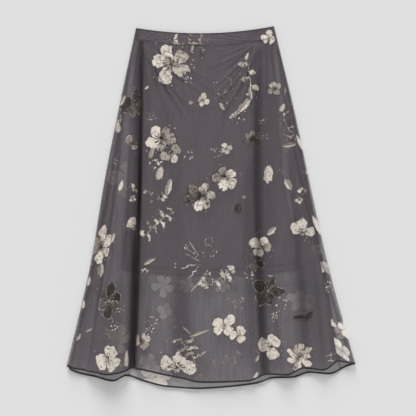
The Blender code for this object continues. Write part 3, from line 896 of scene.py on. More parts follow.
# The charted motifs of the back take a tone below 0, painted light against the shade of the front.
BACK_MOTIFS = tuple(Motif(*row) for row in (
    ("blossom", -117, -188, 27, 1, 40, 5, 3.2, -0.2),
    ("blossom", -61, -190, 22, 1, 10, 6, 3.2, -0.2),
    ("blossom", -112, -251, 22, 0.9, 70, 4, 3.2, -0.2),
    ("specks", -83, -278, 22, 0.7, 50, 4, 1, -0.2),
    ("blossom", 27, -190, 19, 0.9, 0, 5, 3.2, -0.2),
    ("spray", 53, -229, 27, 0.5, -50, 4, 0.25, -0.2),
    ("blossom", -154, -375, 24, 0.9, 70, 4, 3.2, -0.2),
    ("blossom", -137, -412, 39, 0.8, 10, 5, 3.2, -0.2),
    ("spray", 41, -370, 39, 0.5, 30, 5, 0.25, -0.2),
    ("blossom", 326, -297, 29, 0.9, 40, 5, 3.2, -0.2),
    ("blossom", -222, -322, 34, 0.9, 70, 5, 3.2, -0.2),
    ("blossom", 217, -224, 32, 0.9, 20, 5, 3.2, -0.2),
))
SCATTER_COUNT = 95
SCATTER_SEED = 5
SCATTER_GAP = 1.25
SCATTER_TRIES = 20000
SCATTER_X = (-350, 350)
SCATTER_Y = (-430, 400)
SEEN_THROUGH_Y = -150.0


def scatter(motifs, count, seed):
    """More motifs like the charted ones, thrown over the unseen part of the back."""
    dice = np.random.default_rng(seed)
    placed = list(motifs)
    tries = 0
    while len(placed) < count and tries < SCATTER_TRIES:
        tries += 1
        pattern = FRONT_MOTIFS[dice.integers(len(FRONT_MOTIFS))]
        x = dice.uniform(*SCATTER_X)
        y = dice.uniform(*SCATTER_Y)
        radius = pattern.radius * dice.uniform(0.85, 1.15)
        if y < SEEN_THROUGH_Y and pattern.kind not in ("specks", "spray"):
            continue
        clear = all(np.hypot(x - m.x, y - m.y) > SCATTER_GAP * (radius + m.radius) for m in placed)
        if clear:
            placed.append(pattern._replace(
                x=x, y=y, radius=radius, turn=dice.uniform(-180, 180),
                tone=float(np.clip(pattern.tone + dice.normal(0, 0.08), 0, 1))))
    return tuple(placed)


back_motifs = scatter(BACK_MOTIFS, SCATTER_COUNT, SCATTER_SEED)
print(len(FRONT_MOTIFS), "motifs charted for the front,", len(back_motifs), "for the back")

# %% [markdown]
# ## Giving every face its motif
# Each face of the cloth belongs to the motif that is nearest for its size. Its corners
# get the place within that motif as a UV map, in units of the motif's radius, and the
# face stores which motif it is. Distances are taken along the cloth, not in the picture,
# so a blossom that runs into the groove turns with the cloth instead of being projected
# onto it. A motif is cut at a seam, as printed cloth is.

# %% Seats and motif maps
SEED_STEP = 0.618


def seat(motif, cloth, allowed):
    """Where a motif's centre lies across and down the cloth, and how far off the sheet."""
    places = cloth.points[cloth.column, cloth.row]
    away = np.hypot(places[:, 0] - motif.x, places[:, 1] - motif.y)
    nearest = int(np.where(allowed, away, np.inf).argmin())
    across = cloth.across[cloth.column[nearest], cloth.row[nearest]]
    return across + motif.x - places[nearest, 0], motif.y, away[nearest]


def map_motifs(cloth, motifs, allowed, reach):
    """Store every face's motif and its corners' places within that motif."""
    seated = [(motif, *seat(motif, cloth, allowed)) for motif in motifs]
    seated = [entry for entry in seated if entry[3] < reach]
    mesh = cloth.piece.data
    corners = corner_vertices(mesh)
    across = cloth.across[cloth.column, cloth.row][corners]
    up = cloth.points[cloth.column, cloth.row, 1][corners]
    starts = np.empty(len(mesh.polygons), dtype=np.int32)
    mesh.polygons.foreach_get("loop_start", starts)
    sizes = np.diff(np.append(starts, len(corners)))
    owner = np.repeat(np.arange(len(starts)), sizes)
    face_across = np.bincount(owner, across) / sizes
    face_up = np.bincount(owner, up) / sizes

    centre = np.array([(entry[1], entry[2]) for entry in seated])
    facts = np.array([(m.radius, m.radius * m.narrow, np.radians(m.turn)) for m, *_ in seated])

    def local(x, y, number):
        dx = x - centre[number, 0]
        dy = y - centre[number, 1]
        length, width, turn = facts[number].T
        return ((dx * np.cos(turn) + dy * np.sin(turn)) / length,
                (dy * np.cos(turn) - dx * np.sin(turn)) / width)

    best = np.zeros(len(starts), dtype=np.int32)
    least = np.full(len(starts), np.inf)
    for number in range(len(seated)):
        u, v = local(face_across, face_up, np.full(len(starts), number))
        distance = np.hypot(u, v)
        best = np.where(distance < least, number, best)
        least = np.minimum(distance, least)
    u, v = local(across, up, best[owner])
    layer = mesh.uv_layers.new(name="motif")
    layer.data.foreach_set("uv", np.stack([u, v], axis=-1).ravel())

    shape = np.array([(KINDS.index(m.kind), m.parts, m.spread) for m, *_ in seated])
    look = np.array([(m.tone, number * SEED_STEP % 1 + number, 0)
                     for number, (m, *_) in enumerate(seated)])
    for name, table in (("motif_shape", shape), ("motif_look", look)):
        attribute = mesh.attributes.new(name, "FLOAT_VECTOR", "FACE")
        attribute.data.foreach_set("vector", table[best].astype(np.float32).ravel())
    print(cloth.piece.name, "carries", len(seated), "motifs")


def left_of_seam(motif):
    """Whether a motif's centre lies on the front panel, not on the strip beside it."""
    return motif.x < float(at_height(Outline(*FOLDS[-1][1:6]), np.array(motif.y)))


# How far outside a sheet a motif's centre may lie, in millimetres, and still print on it.
SEAM_REACH = 30.0
BAND_BACK_REACH = 60.0
BACK_REACH = 80.0

on_panel = tuple(m for m in FRONT_MOTIFS if left_of_seam(m))
on_strip = tuple(m for m in FRONT_MOTIFS if not left_of_seam(m))
for cloth, motifs, reach in ((skirt_front, on_panel, SEAM_REACH),
                             (band_front, on_panel, SEAM_REACH),
                             (band_back, back_motifs, BAND_BACK_REACH)):
    map_motifs(cloth, motifs, np.ones(cloth.column.shape, bool), reach)

# %% [markdown]
# ## The back's motifs
# A strip of the back panel turns round the right side and shows on the front, so it
# takes charted motifs. The rest lies on the table and takes the scattered ones. Both
# are seated by their distance along the cloth, so none is squeezed where it turns.

# %% Motifs of the back and of its strip on the front
strip_columns = back_place[skirt_back.column] > 1.6
floor_columns = (back_place[skirt_back.column] > 0) & (back_place[skirt_back.column] < 1)


def seated_motifs(cloth, motifs, allowed):
    """The motifs, with their centres moved to their seats along the cloth."""
    seats = [seat(motif, cloth, allowed) for motif in motifs]
    return [motif._replace(x=across, y=up) for motif, (across, up, _) in zip(motifs, seats)]


def map_back(cloth):
    """Charted motifs on the strip that shows, scattered ones on the floor."""
    on_floor = seated_motifs(cloth, back_motifs, floor_columns)
    strip = seated_motifs(cloth, on_strip, strip_columns)
    flat = cloth.points.copy()
    flat[..., 0] = cloth.across
    laid_out = cloth._replace(points=flat)
    everywhere = np.ones(cloth.column.shape, bool)
    map_motifs(laid_out, tuple(on_floor + strip), everywhere, BACK_REACH)


map_back(skirt_back)

# %% [markdown]
# ## Painted shade of the folds
# On the hanging skirt the groove and the right valley were deep folds, where sheer cloth
# doubles behind itself and lies in shade, so it looks far darker and denser there. The
# laid skirt is too flat to show that by its form alone, so the shade is painted. A table
# of soft lines marks painted shade in the folds, along the side edges, on the drag lines
# and in broad patches towards the hem, and the sum is stored on the vertices for the
# material to read. There the material darkens the colour, which is painted shade, and
# closes the cloth, partly for the doubled cloth and partly as more painted shade, since
# less of the pale floor shows through. The painted shade depends on the place on the
# cloth only, so it stays put from every side. It reaches the print fully only where a
# fold is deep.

# %% Painted shade in folds, along edges and towards the hem
Shade = namedtuple("Shade", "name x0 y0 x1 y1 x2 y2 width strength")
SHADES = tuple(Shade(*row) for row in (
    ("groove", -167, 477, -172, 7, -190, -463, 4.2, 0.97),
    ("groove_core", -172, 424, -175, -17, -192, -463, 4.2, 0.92),
    ("groove_wide", -178, 434, -184, -5, -202, -448, 11, 0.40),
    ("groove_low", -180, -68, -186, -273, -195, -463, 10.5, 0.92),
    ("right_edge_body", 290, -78, 329, -273, 355, -448, 13, 0.24),
    ("bank_foot", -159, 361, -159, 19, -173, -370, 9, 0.10),
    ("valley_right", 117, 346, 114, -17, 136, -458, 11, 0.62),
    ("valley_right_core", 112, 287, 111, -41, 129, -448, 5, 0.32),
    ("valley_right_low", 112, -66, 122, -261, 134, -448, 10, 0.36),
    ("valley_soft", -110, 239, -81, -29, -71, -346, 15, 0.12),
    ("step_left", -215, 283, -234, 44, -310, -448, 4, 0.40),
    ("side_left", -185, 443, -254, 19, -353, -429, 4, 0.32),
    ("side_right", 156, 443, 224, 44, 355, -409, 4.5, 0.26),
    ("seam_right", 150, 438, 231, 68, 319, -419, 3.2, 0.46),
    ("valley_side", 190, 141, 214, -127, 236, -409, 8, 0.28),
    ("valley_low", 277, -175, 290, -285, 302, -400, 6, 0.24),
    ("drag_left_1", -163, 392, -134, 302, -105, 209, 3.6, 0.18),
    ("drag_left_2", -161, 395, -95, 292, -37, 205, 3.6, 0.16),
    ("drag_left_3", -149, 397, -61, 331, 12, 273, 4, 0.13),
    ("drag_left_4", -168, 390, -156, 302, -149, 219, 3.6, 0.16),
    ("drag_right_1", 105, 397, 66, 322, 17, 253, 3.6, 0.18),
    ("drag_right_2", 109, 392, 90, 302, 66, 209, 3.6, 0.22),
    ("drag_right_3", 100, 402, 61, 365, 2, 331, 4, 0.14),
    ("drag_right_4", 114, 392, 102, 302, 95, 214, 3.6, 0.22),
    ("gather_right_1", 122, 409, 119, 336, 114, 268, 3.6, 0.30),
    ("gather_right_2", 131, 412, 134, 346, 136, 273, 3.6, 0.24),
    ("gather_right_3", 143, 414, 151, 346, 161, 273, 3.6, 0.20),
    ("flute_body", -217, 190, -239, -78, -278, -448, 40, 0.14),
    ("flute_low_body", -241, -200, -256, -322, -276, -458, 30, 0.16),
    ("right_body", 197, 263, 236, -78, 280, -443, 34, 0.30),
    ("left_edge_body", -246, 93, -290, -151, -334, -438, 14, 0.18),
    ("flute_line_1", -198, 141, -202, -5, -210, -132, 4, 0.24),
    ("flute_line_2", -227, 7, -239, -102, -256, -224, 5, 0.18),
    ("flute_line_3", -261, -102, -276, -248, -295, -429, 6, 0.16),
    ("low_line_1", -149, -200, -156, -285, -163, -404, 6, 0.20),
    ("low_line_2", 148, -224, 161, -297, 175, -404, 6, 0.24),
    ("low_line_3", 248, -127, 260, -248, 275, -404, 5, 0.18),
    ("low_line_4", -86, -224, -86, -297, -88, -429, 8, 0.10),
    ("low_line_5", 90, -102, 97, -248, 107, -429, 7, 0.12),
    ("valley_right_broad", 138, 310, 126, 0, 130, -410, 30, 0.28),
    ("right_low_body", 213, -120, 219, -240, 230, -410, 17, 0.24),
    ("hem_body_left", -318, -330, -240, -365, -172, -370, 40, 0.10),
    ("hem_body_middle", -120, -375, -60, -350, -20, -400, 34, 0.08),
    ("valley_soft_low", -76, -150, -70, -260, -66, -410, 25, 0.32),
    ("valley_left_slope", 92, 130, 90, -60, 92, -390, 14, 0.20),
))
# Painted shade at the ends of the waistband and along its folded corners.
BAND_SHADES = (
    Shade("left_end", -184, 440, -182, 422, -178, 405, 4.0, 0.3),
    Shade("right_end", 155, 442, 156, 424, 157, 405, 4.0, 0.3),
    Shade("left_fold", -178, 407, -160, 408, -136, 404, 2.6, 0.22),
    Shade("right_fold", 146, 406, 120, 404, 92, 397, 2.6, 0.22),
)
# The back takes only the painted shade along its turned sides and the right seam.
EDGE_NAMES = ("side_left", "side_right", "seam_right")
EDGE_SHADES = tuple(line for line in SHADES if line.name in EDGE_NAMES)
SHADE_TAPER = 0.3


def add_painted_fold_shade(cloth, lines):
    """Store how much painted shade each vertex gets, from 0 to nearly 1."""
    x = cloth.points[cloth.column, cloth.row, 0]
    y = cloth.points[cloth.column, cloth.row, 1]
    unshaded_share = np.ones_like(x)
    for line in lines:
        near, off, along = near_line(x, y, line)
        taper = np.sin(np.pi * along) ** SHADE_TAPER
        unshaded_share[near] *= 1 - line.strength * taper * np.exp(-off ** 1.5)
    depth = cloth.piece.data.attributes.new("painted_fold_shade", "FLOAT", "POINT")
    depth.data.foreach_set("value", (1 - unshaded_share).astype(np.float32))
    return float((1 - unshaded_share).mean())


# The mean painted shade of the front and of the back.
print("mean fold depth:", round(add_painted_fold_shade(skirt_front, SHADES), 3), "front,",
      round(add_painted_fold_shade(skirt_back, EDGE_SHADES), 3), "back")
for band in (band_front, band_back):
    add_painted_fold_shade(band, BAND_SHADES)

# %% [markdown]
# ## A bench for shader nodes
# Materials are built from many small nodes. This helper adds a node, wires values or
# sockets into it and hands back its output, so a material reads like a sum instead of a
# list of links.

# %% Node bench
class Bench:
    """Adds nodes to one tree and wires them up."""

    def __init__(self, tree):
        self.tree = tree

    def add(self, kind, inputs=None, **settings):
        """A node with its settings, and values or sockets fed to its inputs."""
        node = self.tree.nodes.new(kind)
        for name, value in settings.items():
            setattr(node, name, value)
        for key, value in (inputs or {}).items():
            self.feed(node.inputs[key], value)
        return node

    def feed(self, socket, value):
        """Link a socket to an output, or give it a plain value."""
        if isinstance(value, bpy.types.NodeSocket):
            self.tree.links.new(value, socket)
        else:
            socket.default_value = value

    def math(self, operation, *values):
        """One Math node."""
        node = self.add("ShaderNodeMath", operation=operation)
        for socket, value in zip(node.inputs, values):
            self.feed(socket, value)
        return node.outputs[0]

    def both(self, *masks):
        """Where all masks overlap."""
        product = masks[0]
        for mask in masks[1:]:
            product = self.math("MULTIPLY", product, mask)
        return product

    def rise(self, value, low, high):
        """A soft step from 0 at low to 1 at high."""
        node = self.add("ShaderNodeMapRange", {"Value": value, "From Min": low, "From Max": high},
                        interpolation_type="SMOOTHSTEP")
        return node.outputs["Result"]

    def fall(self, value, low, high):
        """A soft step from 1 at low to 0 at high."""
        return self.math("SUBTRACT", 1.0, self.rise(value, low, high))

    def vector(self, x=0.0, y=0.0, z=0.0):
        """Three numbers as a vector."""
        return self.add("ShaderNodeCombineXYZ", {"X": x, "Y": y, "Z": z}).outputs[0]

    def parts(self, vector):
        """A vector's three numbers."""
        node = self.add("ShaderNodeSeparateXYZ", {"Vector": vector})
        return node.outputs[0], node.outputs[1], node.outputs[2]

    def dice(self, *numbers):
        """Three random numbers that depend only on the ones given."""
        white = self.add("ShaderNodeTexWhiteNoise", {"Vector": self.vector(*numbers)},
                         noise_dimensions="3D")
        return self.parts(white.outputs["Color"])

    def noise(self, vector, scale, detail=2.0, rough=0.5):
        """Cloudy noise: its value and its colour."""
        node = self.add("ShaderNodeTexNoise",
                        {"Vector": vector, "Scale": scale, "Detail": detail, "Roughness": rough},
                        noise_dimensions="3D")
        return node.outputs["Fac"], node.outputs["Color"]

    def blend(self, share, first, second, mode="MIX"):
        """A mix of two colours."""
        node = self.add("ShaderNodeMix", data_type="RGBA", blend_type=mode)
        self.feed(node.inputs[0], share)
        self.feed(node.inputs[6], first)
        self.feed(node.inputs[7], second)
        return node.outputs[2]

    def ramp(self, value, *stops):
        """Colours read off a scale of stops, each a place and a colour."""
        node = self.add("ShaderNodeValToRGB", {"Fac": value})
        scale = node.color_ramp.elements
        while len(scale) < len(stops):
            scale.new(0.5)
        for element, (place, colour) in zip(scale, stops):
            element.position = place
            element.color = (*colour, 1)
        return node.outputs["Color"]


def node_group(name, inputs, outputs):
    """An empty shader node group with named sockets, ready to be filled."""
    tree = bpy.data.node_groups.new(name, "ShaderNodeTree")
    for title, kind in inputs:
        tree.interface.new_socket(title, in_out="INPUT", socket_type="NodeSocket" + kind)
    for title, kind in outputs:
        tree.interface.new_socket(title, in_out="OUTPUT", socket_type="NodeSocket" + kind)
    bench = Bench(tree)
    return bench, bench.add("NodeGroupInput"), bench.add("NodeGroupOutput")


print("node bench ready")

# %% [markdown]
# ## Drawing blossoms
# A petal is an ellipse whose tip points away from the middle. The angle round the middle
# says which petal a point is in, and a random number for each petal makes it longer,
# shorter, paler or darker than the next. Noise pulls the outline about like wet ink, thin
# lines run along the petals, and stamens sit in the heart. The same drawing with narrow
# petals gives a burst of twigs.

# %% The blossom group
def build_blossom():
    """Petals, their tone and the stamens, in a place measured in the blossom's radius."""
    bench, given, result = node_group(
        "blossom_drawing",
        [("Place", "Vector"), ("Petals", "Float"), ("Spread", "Float"), ("Tone", "Float"),
         ("Seed", "Float"), ("Narrow", "Float")],
        [("Cover", "Float"), ("Tone", "Float")])
    x, y, _ = bench.parts(given.outputs["Place"])
    petals = given.outputs["Petals"]
    tone = given.outputs["Tone"]
    seed = given.outputs["Seed"]
    narrow = given.outputs["Narrow"]
    angle = bench.math("ARCTAN2", y, x)
    reach = bench.math("SQRT", bench.math(
        "ADD", bench.math("MULTIPLY", x, x), bench.math("MULTIPLY", y, y)))
    sector = bench.math("DIVIDE", 2 * np.pi, petals)
    number = bench.math("ROUND", bench.math("DIVIDE", angle, sector))
    number_wrapped = bench.math("WRAP", number, petals, 0.0)
    own = bench.math("SUBTRACT", angle, bench.math("MULTIPLY", number, sector))
    size, shade, turn = bench.dice(number_wrapped, seed, 3.7)
    own = bench.math("ADD", own, bench.math("MULTIPLY", bench.math("SUBTRACT", turn, 0.5), 0.48))
    length = bench.math("MULTIPLY_ADD", size, 0.38, 0.78)
    along = bench.math("MULTIPLY", reach, bench.math("COSINE", own))
    aside = bench.math("MULTIPLY", reach, bench.math("SINE", own))
    full_width = bench.math("MULTIPLY_ADD", bench.math("DIVIDE", 1.0, petals), 1.55, 0.06)
    full_width = bench.math("MULTIPLY", full_width, bench.math("MULTIPLY_ADD", along, 0.45, 0.74))
    width = bench.math("MULTIPLY", full_width, bench.math(
        "MULTIPLY_ADD", narrow, -0.86, 1.0))
    part_along = bench.math("DIVIDE", bench.math(
        "SUBTRACT", along, bench.math("MULTIPLY", length, 0.53)),
        bench.math("MULTIPLY", length, 0.5))
    part_aside = bench.math("DIVIDE", aside, width)
    edge = bench.math("ADD", bench.math("MULTIPLY", part_along, part_along),
                      bench.math("MULTIPLY", part_aside, part_aside))
    petal = bench.fall(edge, 0.88, 1.04)
    turned = bench.math("MULTIPLY", bench.math("ABSOLUTE", number), sector)
    opened = bench.math("LESS_THAN", turned, bench.math("ADD", given.outputs["Spread"], 0.01))
    kept = bench.math("GREATER_THAN", bench.math("ADD", shade, bench.math(
        "SUBTRACT", 1.0, narrow)), 0.3)
    heart = bench.both(bench.fall(reach, 0.17, 0.22), bench.math("SUBTRACT", 1.0, narrow))
    cover = bench.math("MAXIMUM", bench.both(petal, opened, kept), heart)

    middling = bench.math("MULTIPLY", tone, bench.math("SUBTRACT", 1.0, tone))
    own_tone = bench.math("MULTIPLY_ADD", bench.math("MULTIPLY", bench.math(
        "SUBTRACT", shade, 0.5), middling), 3.4, tone)
    vein_place = bench.vector(bench.math("MULTIPLY_ADD", own, 7.0, number_wrapped),
                              bench.math("MULTIPLY", reach, 1.3), seed)
    vein, _ = bench.noise(vein_place, 1.6, 3.0, 0.6)
    own_tone = bench.math("MULTIPLY_ADD", bench.math("SUBTRACT", vein, 0.5),
                          bench.math("MULTIPLY_ADD", middling, 1.5, 0.42), own_tone)
    base = bench.fall(reach, 0.12, 0.46)
    own_tone = bench.math("MULTIPLY_ADD", base, bench.math(
        "MULTIPLY_ADD", middling, 1.2, 0.06), own_tone)
    patch, _ = bench.noise(bench.vector(x, y, bench.math("MULTIPLY", seed, 3.1)), 3.2, 2.0)
    rim = bench.both(bench.rise(edge, 0.74, 0.90), bench.rise(patch, 0.36, 0.50))
    dark = bench.rise(tone, 0.55, 0.75)
    rim_tone = bench.math("MULTIPLY_ADD", dark, -1.45, 0.74)
    own_tone = bench.math("MULTIPLY_ADD", rim, rim_tone, own_tone)
    ray = bench.math("SINE", bench.math("ADD", bench.math("MULTIPLY", angle, 11.0), bench.math(
        "MULTIPLY_ADD", patch, 9.0, bench.math("MULTIPLY", seed, 5.0))))
    stamen = bench.both(bench.rise(ray, 0.25, 0.7), bench.rise(reach, 0.05, 0.1),
                        bench.fall(reach, 0.24, 0.42), bench.rise(vein, 0.36, 0.5))
    stamen = bench.both(stamen, bench.math("SUBTRACT", 1.0, narrow))
    stamen_tone = bench.math("MULTIPLY_ADD", dark, -1.5, 0.85)
    own_tone = bench.math("MULTIPLY_ADD", stamen, stamen_tone, own_tone)
    bench.feed(result.inputs["Cover"], cover)
    bench.feed(result.inputs["Tone"], own_tone)
    return bench.tree


blossom_drawing = build_blossom()
print("blossom:", len(blossom_drawing.nodes), "nodes")

# %% [markdown]
# ## Drawing buds, leaves, sprays and specks
# The smaller motifs are simpler. A bud is an egg, a leaf is the overlap of two arcs with
# a dark midrib, and a spray is a thin stem with buds on short twigs to either side of it
# in turn. Specks are the cells of a Voronoi pattern, each shrunk to a dot of its own
# size.

# %% The group of small motifs
def build_small_motifs():
    """Bud, leaf, spray and specks, each with a cover and a tone."""
    bench, given, result = node_group(
        "small_motif_drawing",
        [("Place", "Vector"), ("Parts", "Float"), ("Spread", "Float"), ("Tone", "Float"),
         ("Seed", "Float")],
        [(kind + part, "Float") for kind in ("Bud", "Leaf", "Spray", "Specks")
         for part in ("Cover", "Tone")])
    x, y, _ = bench.parts(given.outputs["Place"])
    tone = given.outputs["Tone"]
    seed = given.outputs["Seed"]
    inside = bench.math("LESS_THAN", bench.math("ABSOLUTE", x), 1.0)
    patch, _ = bench.noise(bench.vector(x, y, bench.math("MULTIPLY", seed, 2.3)), 2.4, 2.0)

    egg = bench.math("DIVIDE", y, bench.math("MULTIPLY_ADD", x, -0.26, 0.84))
    egg = bench.math("ADD", bench.math("MULTIPLY", egg, egg), bench.math(
        "POWER", bench.math("DIVIDE", bench.math("ABSOLUTE", x), 0.94), 2.0))
    bud_tone = bench.math("MULTIPLY_ADD", bench.rise(y, 0.0, 0.7), 0.16, tone)
    bud_tone = bench.math("MULTIPLY_ADD", bench.both(
        bench.rise(egg, 0.55, 0.8), bench.rise(patch, 0.45, 0.55)), 0.4, bud_tone)
    ragged = bench.math("MULTIPLY_ADD", patch, 0.7, -0.35)
    bench.feed(result.inputs["BudCover"], bench.fall(bench.math("ADD", egg, ragged), 0.86, 1.02))
    bench.feed(result.inputs["BudTone"], bud_tone)

    arc = bench.math("MULTIPLY", bench.math("SUBTRACT", 1.0, bench.math("MULTIPLY", x, x)), 0.9)
    rib = bench.fall(bench.math("ABSOLUTE", y), 0.05, 0.13)
    leaf_tone = bench.math("MULTIPLY_ADD", bench.rise(y, 0.0, 0.15), 0.3, tone)
    leaf_tone = bench.math("MULTIPLY_ADD", rib, 0.35, leaf_tone)
    margin = bench.math("SUBTRACT", arc, bench.math("ABSOLUTE", y))
    margin = bench.math("SUBTRACT", margin, ragged)
    bench.feed(result.inputs["LeafCover"], bench.both(bench.rise(margin, 0.0, 0.09), inside))
    bench.feed(result.inputs["LeafTone"], leaf_tone)

    cells = bench.math("MULTIPLY", x, bench.math("MULTIPLY", given.outputs["Parts"], 0.5))
    cells = bench.math("ADD", cells, 0.5)
    number = bench.math("FLOOR", cells)
    along = bench.math("SUBTRACT", bench.math("SUBTRACT", cells, number), 0.5)
    side = bench.math("MULTIPLY_ADD", bench.math("FLOORED_MODULO", number, 2.0), -2.0, 1.0)
    size, shade, offset = bench.dice(number, seed, 9.1)
    bend = bench.math("MULTIPLY", bench.math("SINE", bench.math(
        "MULTIPLY_ADD", x, 2.6, seed)), 0.22)
    from_stem = bench.math("SUBTRACT", y, bend)
    out = bench.math("MULTIPLY", from_stem, side)
    bud_place = bench.math("MULTIPLY_ADD", offset, 0.34, 0.3)
    spread = given.outputs["Spread"]
    part_along = bench.math("DIVIDE", bench.math(
        "SUBTRACT", along, bench.math("MULTIPLY_ADD", shade, 0.5, -0.25)),
        bench.math("MULTIPLY", spread, bench.math("MULTIPLY_ADD", size, 0.9, 0.35)))
    part_out = bench.math("DIVIDE", bench.math("SUBTRACT", out, bud_place),
                          bench.math("MULTIPLY", spread, bench.math(
                              "MULTIPLY_ADD", shade, 0.9, 1.05)))
    berry = bench.math("ADD", bench.math("MULTIPLY", part_along, part_along),
                       bench.math("MULTIPLY", part_out, part_out))
    berry_cover = bench.fall(berry, 0.8, 1.05)
    stem_width = bench.math("MULTIPLY_ADD", x, -0.022, 0.05)
    stem = bench.fall(bench.math("ABSOLUTE", from_stem), bench.math(
        "MULTIPLY", stem_width, 0.6), stem_width)
    from_twig = bench.math("ABSOLUTE", bench.math("MULTIPLY_ADD", out, -0.22, along))
    twig = bench.both(
        bench.fall(from_twig, 0.05, 0.1), bench.rise(out, -0.02, 0.02),
        bench.fall(out, bud_place, bench.math("ADD", bud_place, 0.1)))
    cover = bench.math("MAXIMUM", berry_cover, bench.math("MAXIMUM", stem, twig))
    spray_tone = bench.math("MULTIPLY_ADD", bench.math("SUBTRACT", shade, 0.5), 0.5, tone)
    spray_tone = bench.math("MULTIPLY_ADD", bench.rise(patch, 0.5, 0.6), 0.35, spray_tone)
    spray_tone = bench.math("MULTIPLY_ADD", bench.both(bench.rise(berry, 0.45, 0.8), berry_cover),
                            0.35, spray_tone)
    bench.feed(result.inputs["SprayCover"], bench.both(cover, inside))
    bench.feed(result.inputs["SprayTone"], spray_tone)

    cell = bench.add("ShaderNodeTexVoronoi", {
        "Vector": bench.vector(x, y, bench.math("MULTIPLY", seed, 7.0)), "Scale": 3.1})
    chance, hue, _ = bench.parts(cell.outputs["Color"])
    dot = bench.math("MULTIPLY_ADD", chance, 0.50, 0.05)
    reach = bench.math("SQRT", bench.math(
        "ADD", bench.math("MULTIPLY", x, x), bench.math("MULTIPLY", y, y)))
    dot_cover = bench.both(
        bench.fall(cell.outputs["Distance"], bench.math("MULTIPLY", dot, 0.85), dot),
        bench.fall(reach, 0.9, 1.05))
    bench.feed(result.inputs["SpecksCover"], dot_cover)
    bench.feed(result.inputs["SpecksTone"], bench.math("MULTIPLY_ADD", bench.rise(
        hue, 0.62, 0.7), 0.55, tone))
    return bench.tree


small_motif_drawing = build_small_motifs()
print("small motifs:", len(small_motif_drawing.nodes), "nodes")

# %% [markdown]
# ## The whole print
# One group joins the drawings. It bends the place with two noises first, a broad one for
# the drawn shape and a fine one for the ragged edge of the ink. Then it picks the drawing
# that the face asks for and reads the colour off a scale from cream to near black.
# Warm flecks lie loose around the motifs.

# %% The print group
CREAM = (0.93, 0.845, 0.745)
PALE_GREY = (0.43, 0.375, 0.325)
WARM_GREY = (0.15, 0.125, 0.11)
NEAR_BLACK = (0.040, 0.031, 0.027)
FLECK = (0.84, 0.70, 0.56)


def build_print():
    """How much print covers the ground, and its colour."""
    bench, given, result = node_group(
        "floral_print",
        [("Motif", "Vector"), ("Shape", "Vector"), ("Look", "Vector")],
        [("Cover", "Float"), ("Colour", "Color")])
    kind, parts, spread = bench.parts(given.outputs["Shape"])
    tone, seed, _ = bench.parts(given.outputs["Look"])
    place = given.outputs["Motif"]
    moved = bench.add("ShaderNodeVectorMath", {0: place, 1: bench.vector(
        bench.math("MULTIPLY", seed, 5.3), bench.math("MULTIPLY", seed, 3.9), seed)},
        operation="ADD").outputs[0]
    for scale, strength in ((1.3, 0.44), (4.2, 0.19), (12.0, 0.10)):
        _, colour = bench.noise(moved, scale, 2.0)
        push = bench.add("ShaderNodeVectorMath", {0: colour, 1: (0.5, 0.5, 0.5)},
                         operation="SUBTRACT").outputs[0]
        place = bench.add("ShaderNodeVectorMath", {0: push, 1: (strength,) * 3, 2: place},
                          operation="MULTIPLY_ADD").outputs[0]

    chosen = [bench.math("COMPARE", kind, float(number), 0.4) for number in range(len(KINDS))]
    blossom = bench.add("ShaderNodeGroup", node_tree=blossom_drawing)
    for title, value in (("Place", place), ("Petals", parts), ("Spread", spread),
                         ("Tone", tone), ("Seed", seed), ("Narrow", chosen[4])):
        bench.feed(blossom.inputs[title], value)
    small = bench.add("ShaderNodeGroup", node_tree=small_motif_drawing)
    for title, value in (("Place", place), ("Parts", parts), ("Spread", spread),
                         ("Tone", tone), ("Seed", seed)):
        bench.feed(small.inputs[title], value)

    drawn = ((bench.math("ADD", chosen[0], chosen[4]), blossom, ""), (chosen[1], small, "Bud"),
             (chosen[2], small, "Leaf"), (chosen[3], small, "Spray"), (chosen[5], small, "Specks"))
    cover = 0.0
    own_tone = 0.0
    for mask, drawing, title in drawn:
        cover = bench.math("MULTIPLY_ADD", mask, drawing.outputs[title + "Cover"], cover)
        own_tone = bench.math("MULTIPLY_ADD", mask, drawing.outputs[title + "Tone"], own_tone)

    mottle, _ = bench.noise(moved, 5.0, 4.0, 0.65)
    own_tone = bench.math("MULTIPLY_ADD", bench.math("SUBTRACT", mottle, 0.47), 0.75, own_tone)
    blot, _ = bench.noise(bench.vector(bench.math("ADD", seed, 4.0), *bench.parts(moved)[:2]),
                          6.0, 3.0, 0.6)
    own_tone = bench.math("MULTIPLY_ADD", bench.rise(blot, 0.57, 0.63), 0.46, own_tone)
    ink = bench.ramp(own_tone, (0.0, CREAM), (0.34, PALE_GREY), (0.68, WARM_GREY),
                     (1.0, NEAR_BLACK))

    cell = bench.add("ShaderNodeTexVoronoi", {"Vector": moved, "Scale": 5.5})
    chance, _, _ = bench.parts(cell.outputs["Color"])
    reach = bench.add("ShaderNodeVectorMath", {0: given.outputs["Motif"]},
                      operation="LENGTH").outputs["Value"]
    fleck = bench.both(bench.math("GREATER_THAN", chance, 0.80),
                       bench.fall(cell.outputs["Distance"], 0.16, 0.26),
                       bench.fall(reach, 1.15, 1.7))
    loose = bench.both(fleck, bench.math("SUBTRACT", 1.0, bench.math("MINIMUM", cover, 1.0)))
    bench.feed(result.inputs["Cover"], bench.math("MINIMUM", bench.math(
        "MULTIPLY_ADD", loose, 0.75, cover), 1.0))
    bench.feed(result.inputs["Colour"], bench.blend(loose, ink, (*FLECK, 1)))
    return bench.tree


floral_print = build_print()
print("print:", len(floral_print.nodes), "nodes")

# %% [markdown]
# ## The weave
# Georgette is woven from tightly twisted threads, so its surface is matt and faintly
# pebbled, and it falls in fine streaks along the warp. Both are far smaller than a face,
# so they belong to the shader: a bump for the pebbles, and a soft streak that varies the
# ground's colour and how much shows through.

# %% The weave group
PEBBLES = 620.0
STREAKS_ACROSS = 300.0
STREAKS_DOWN = 16.0


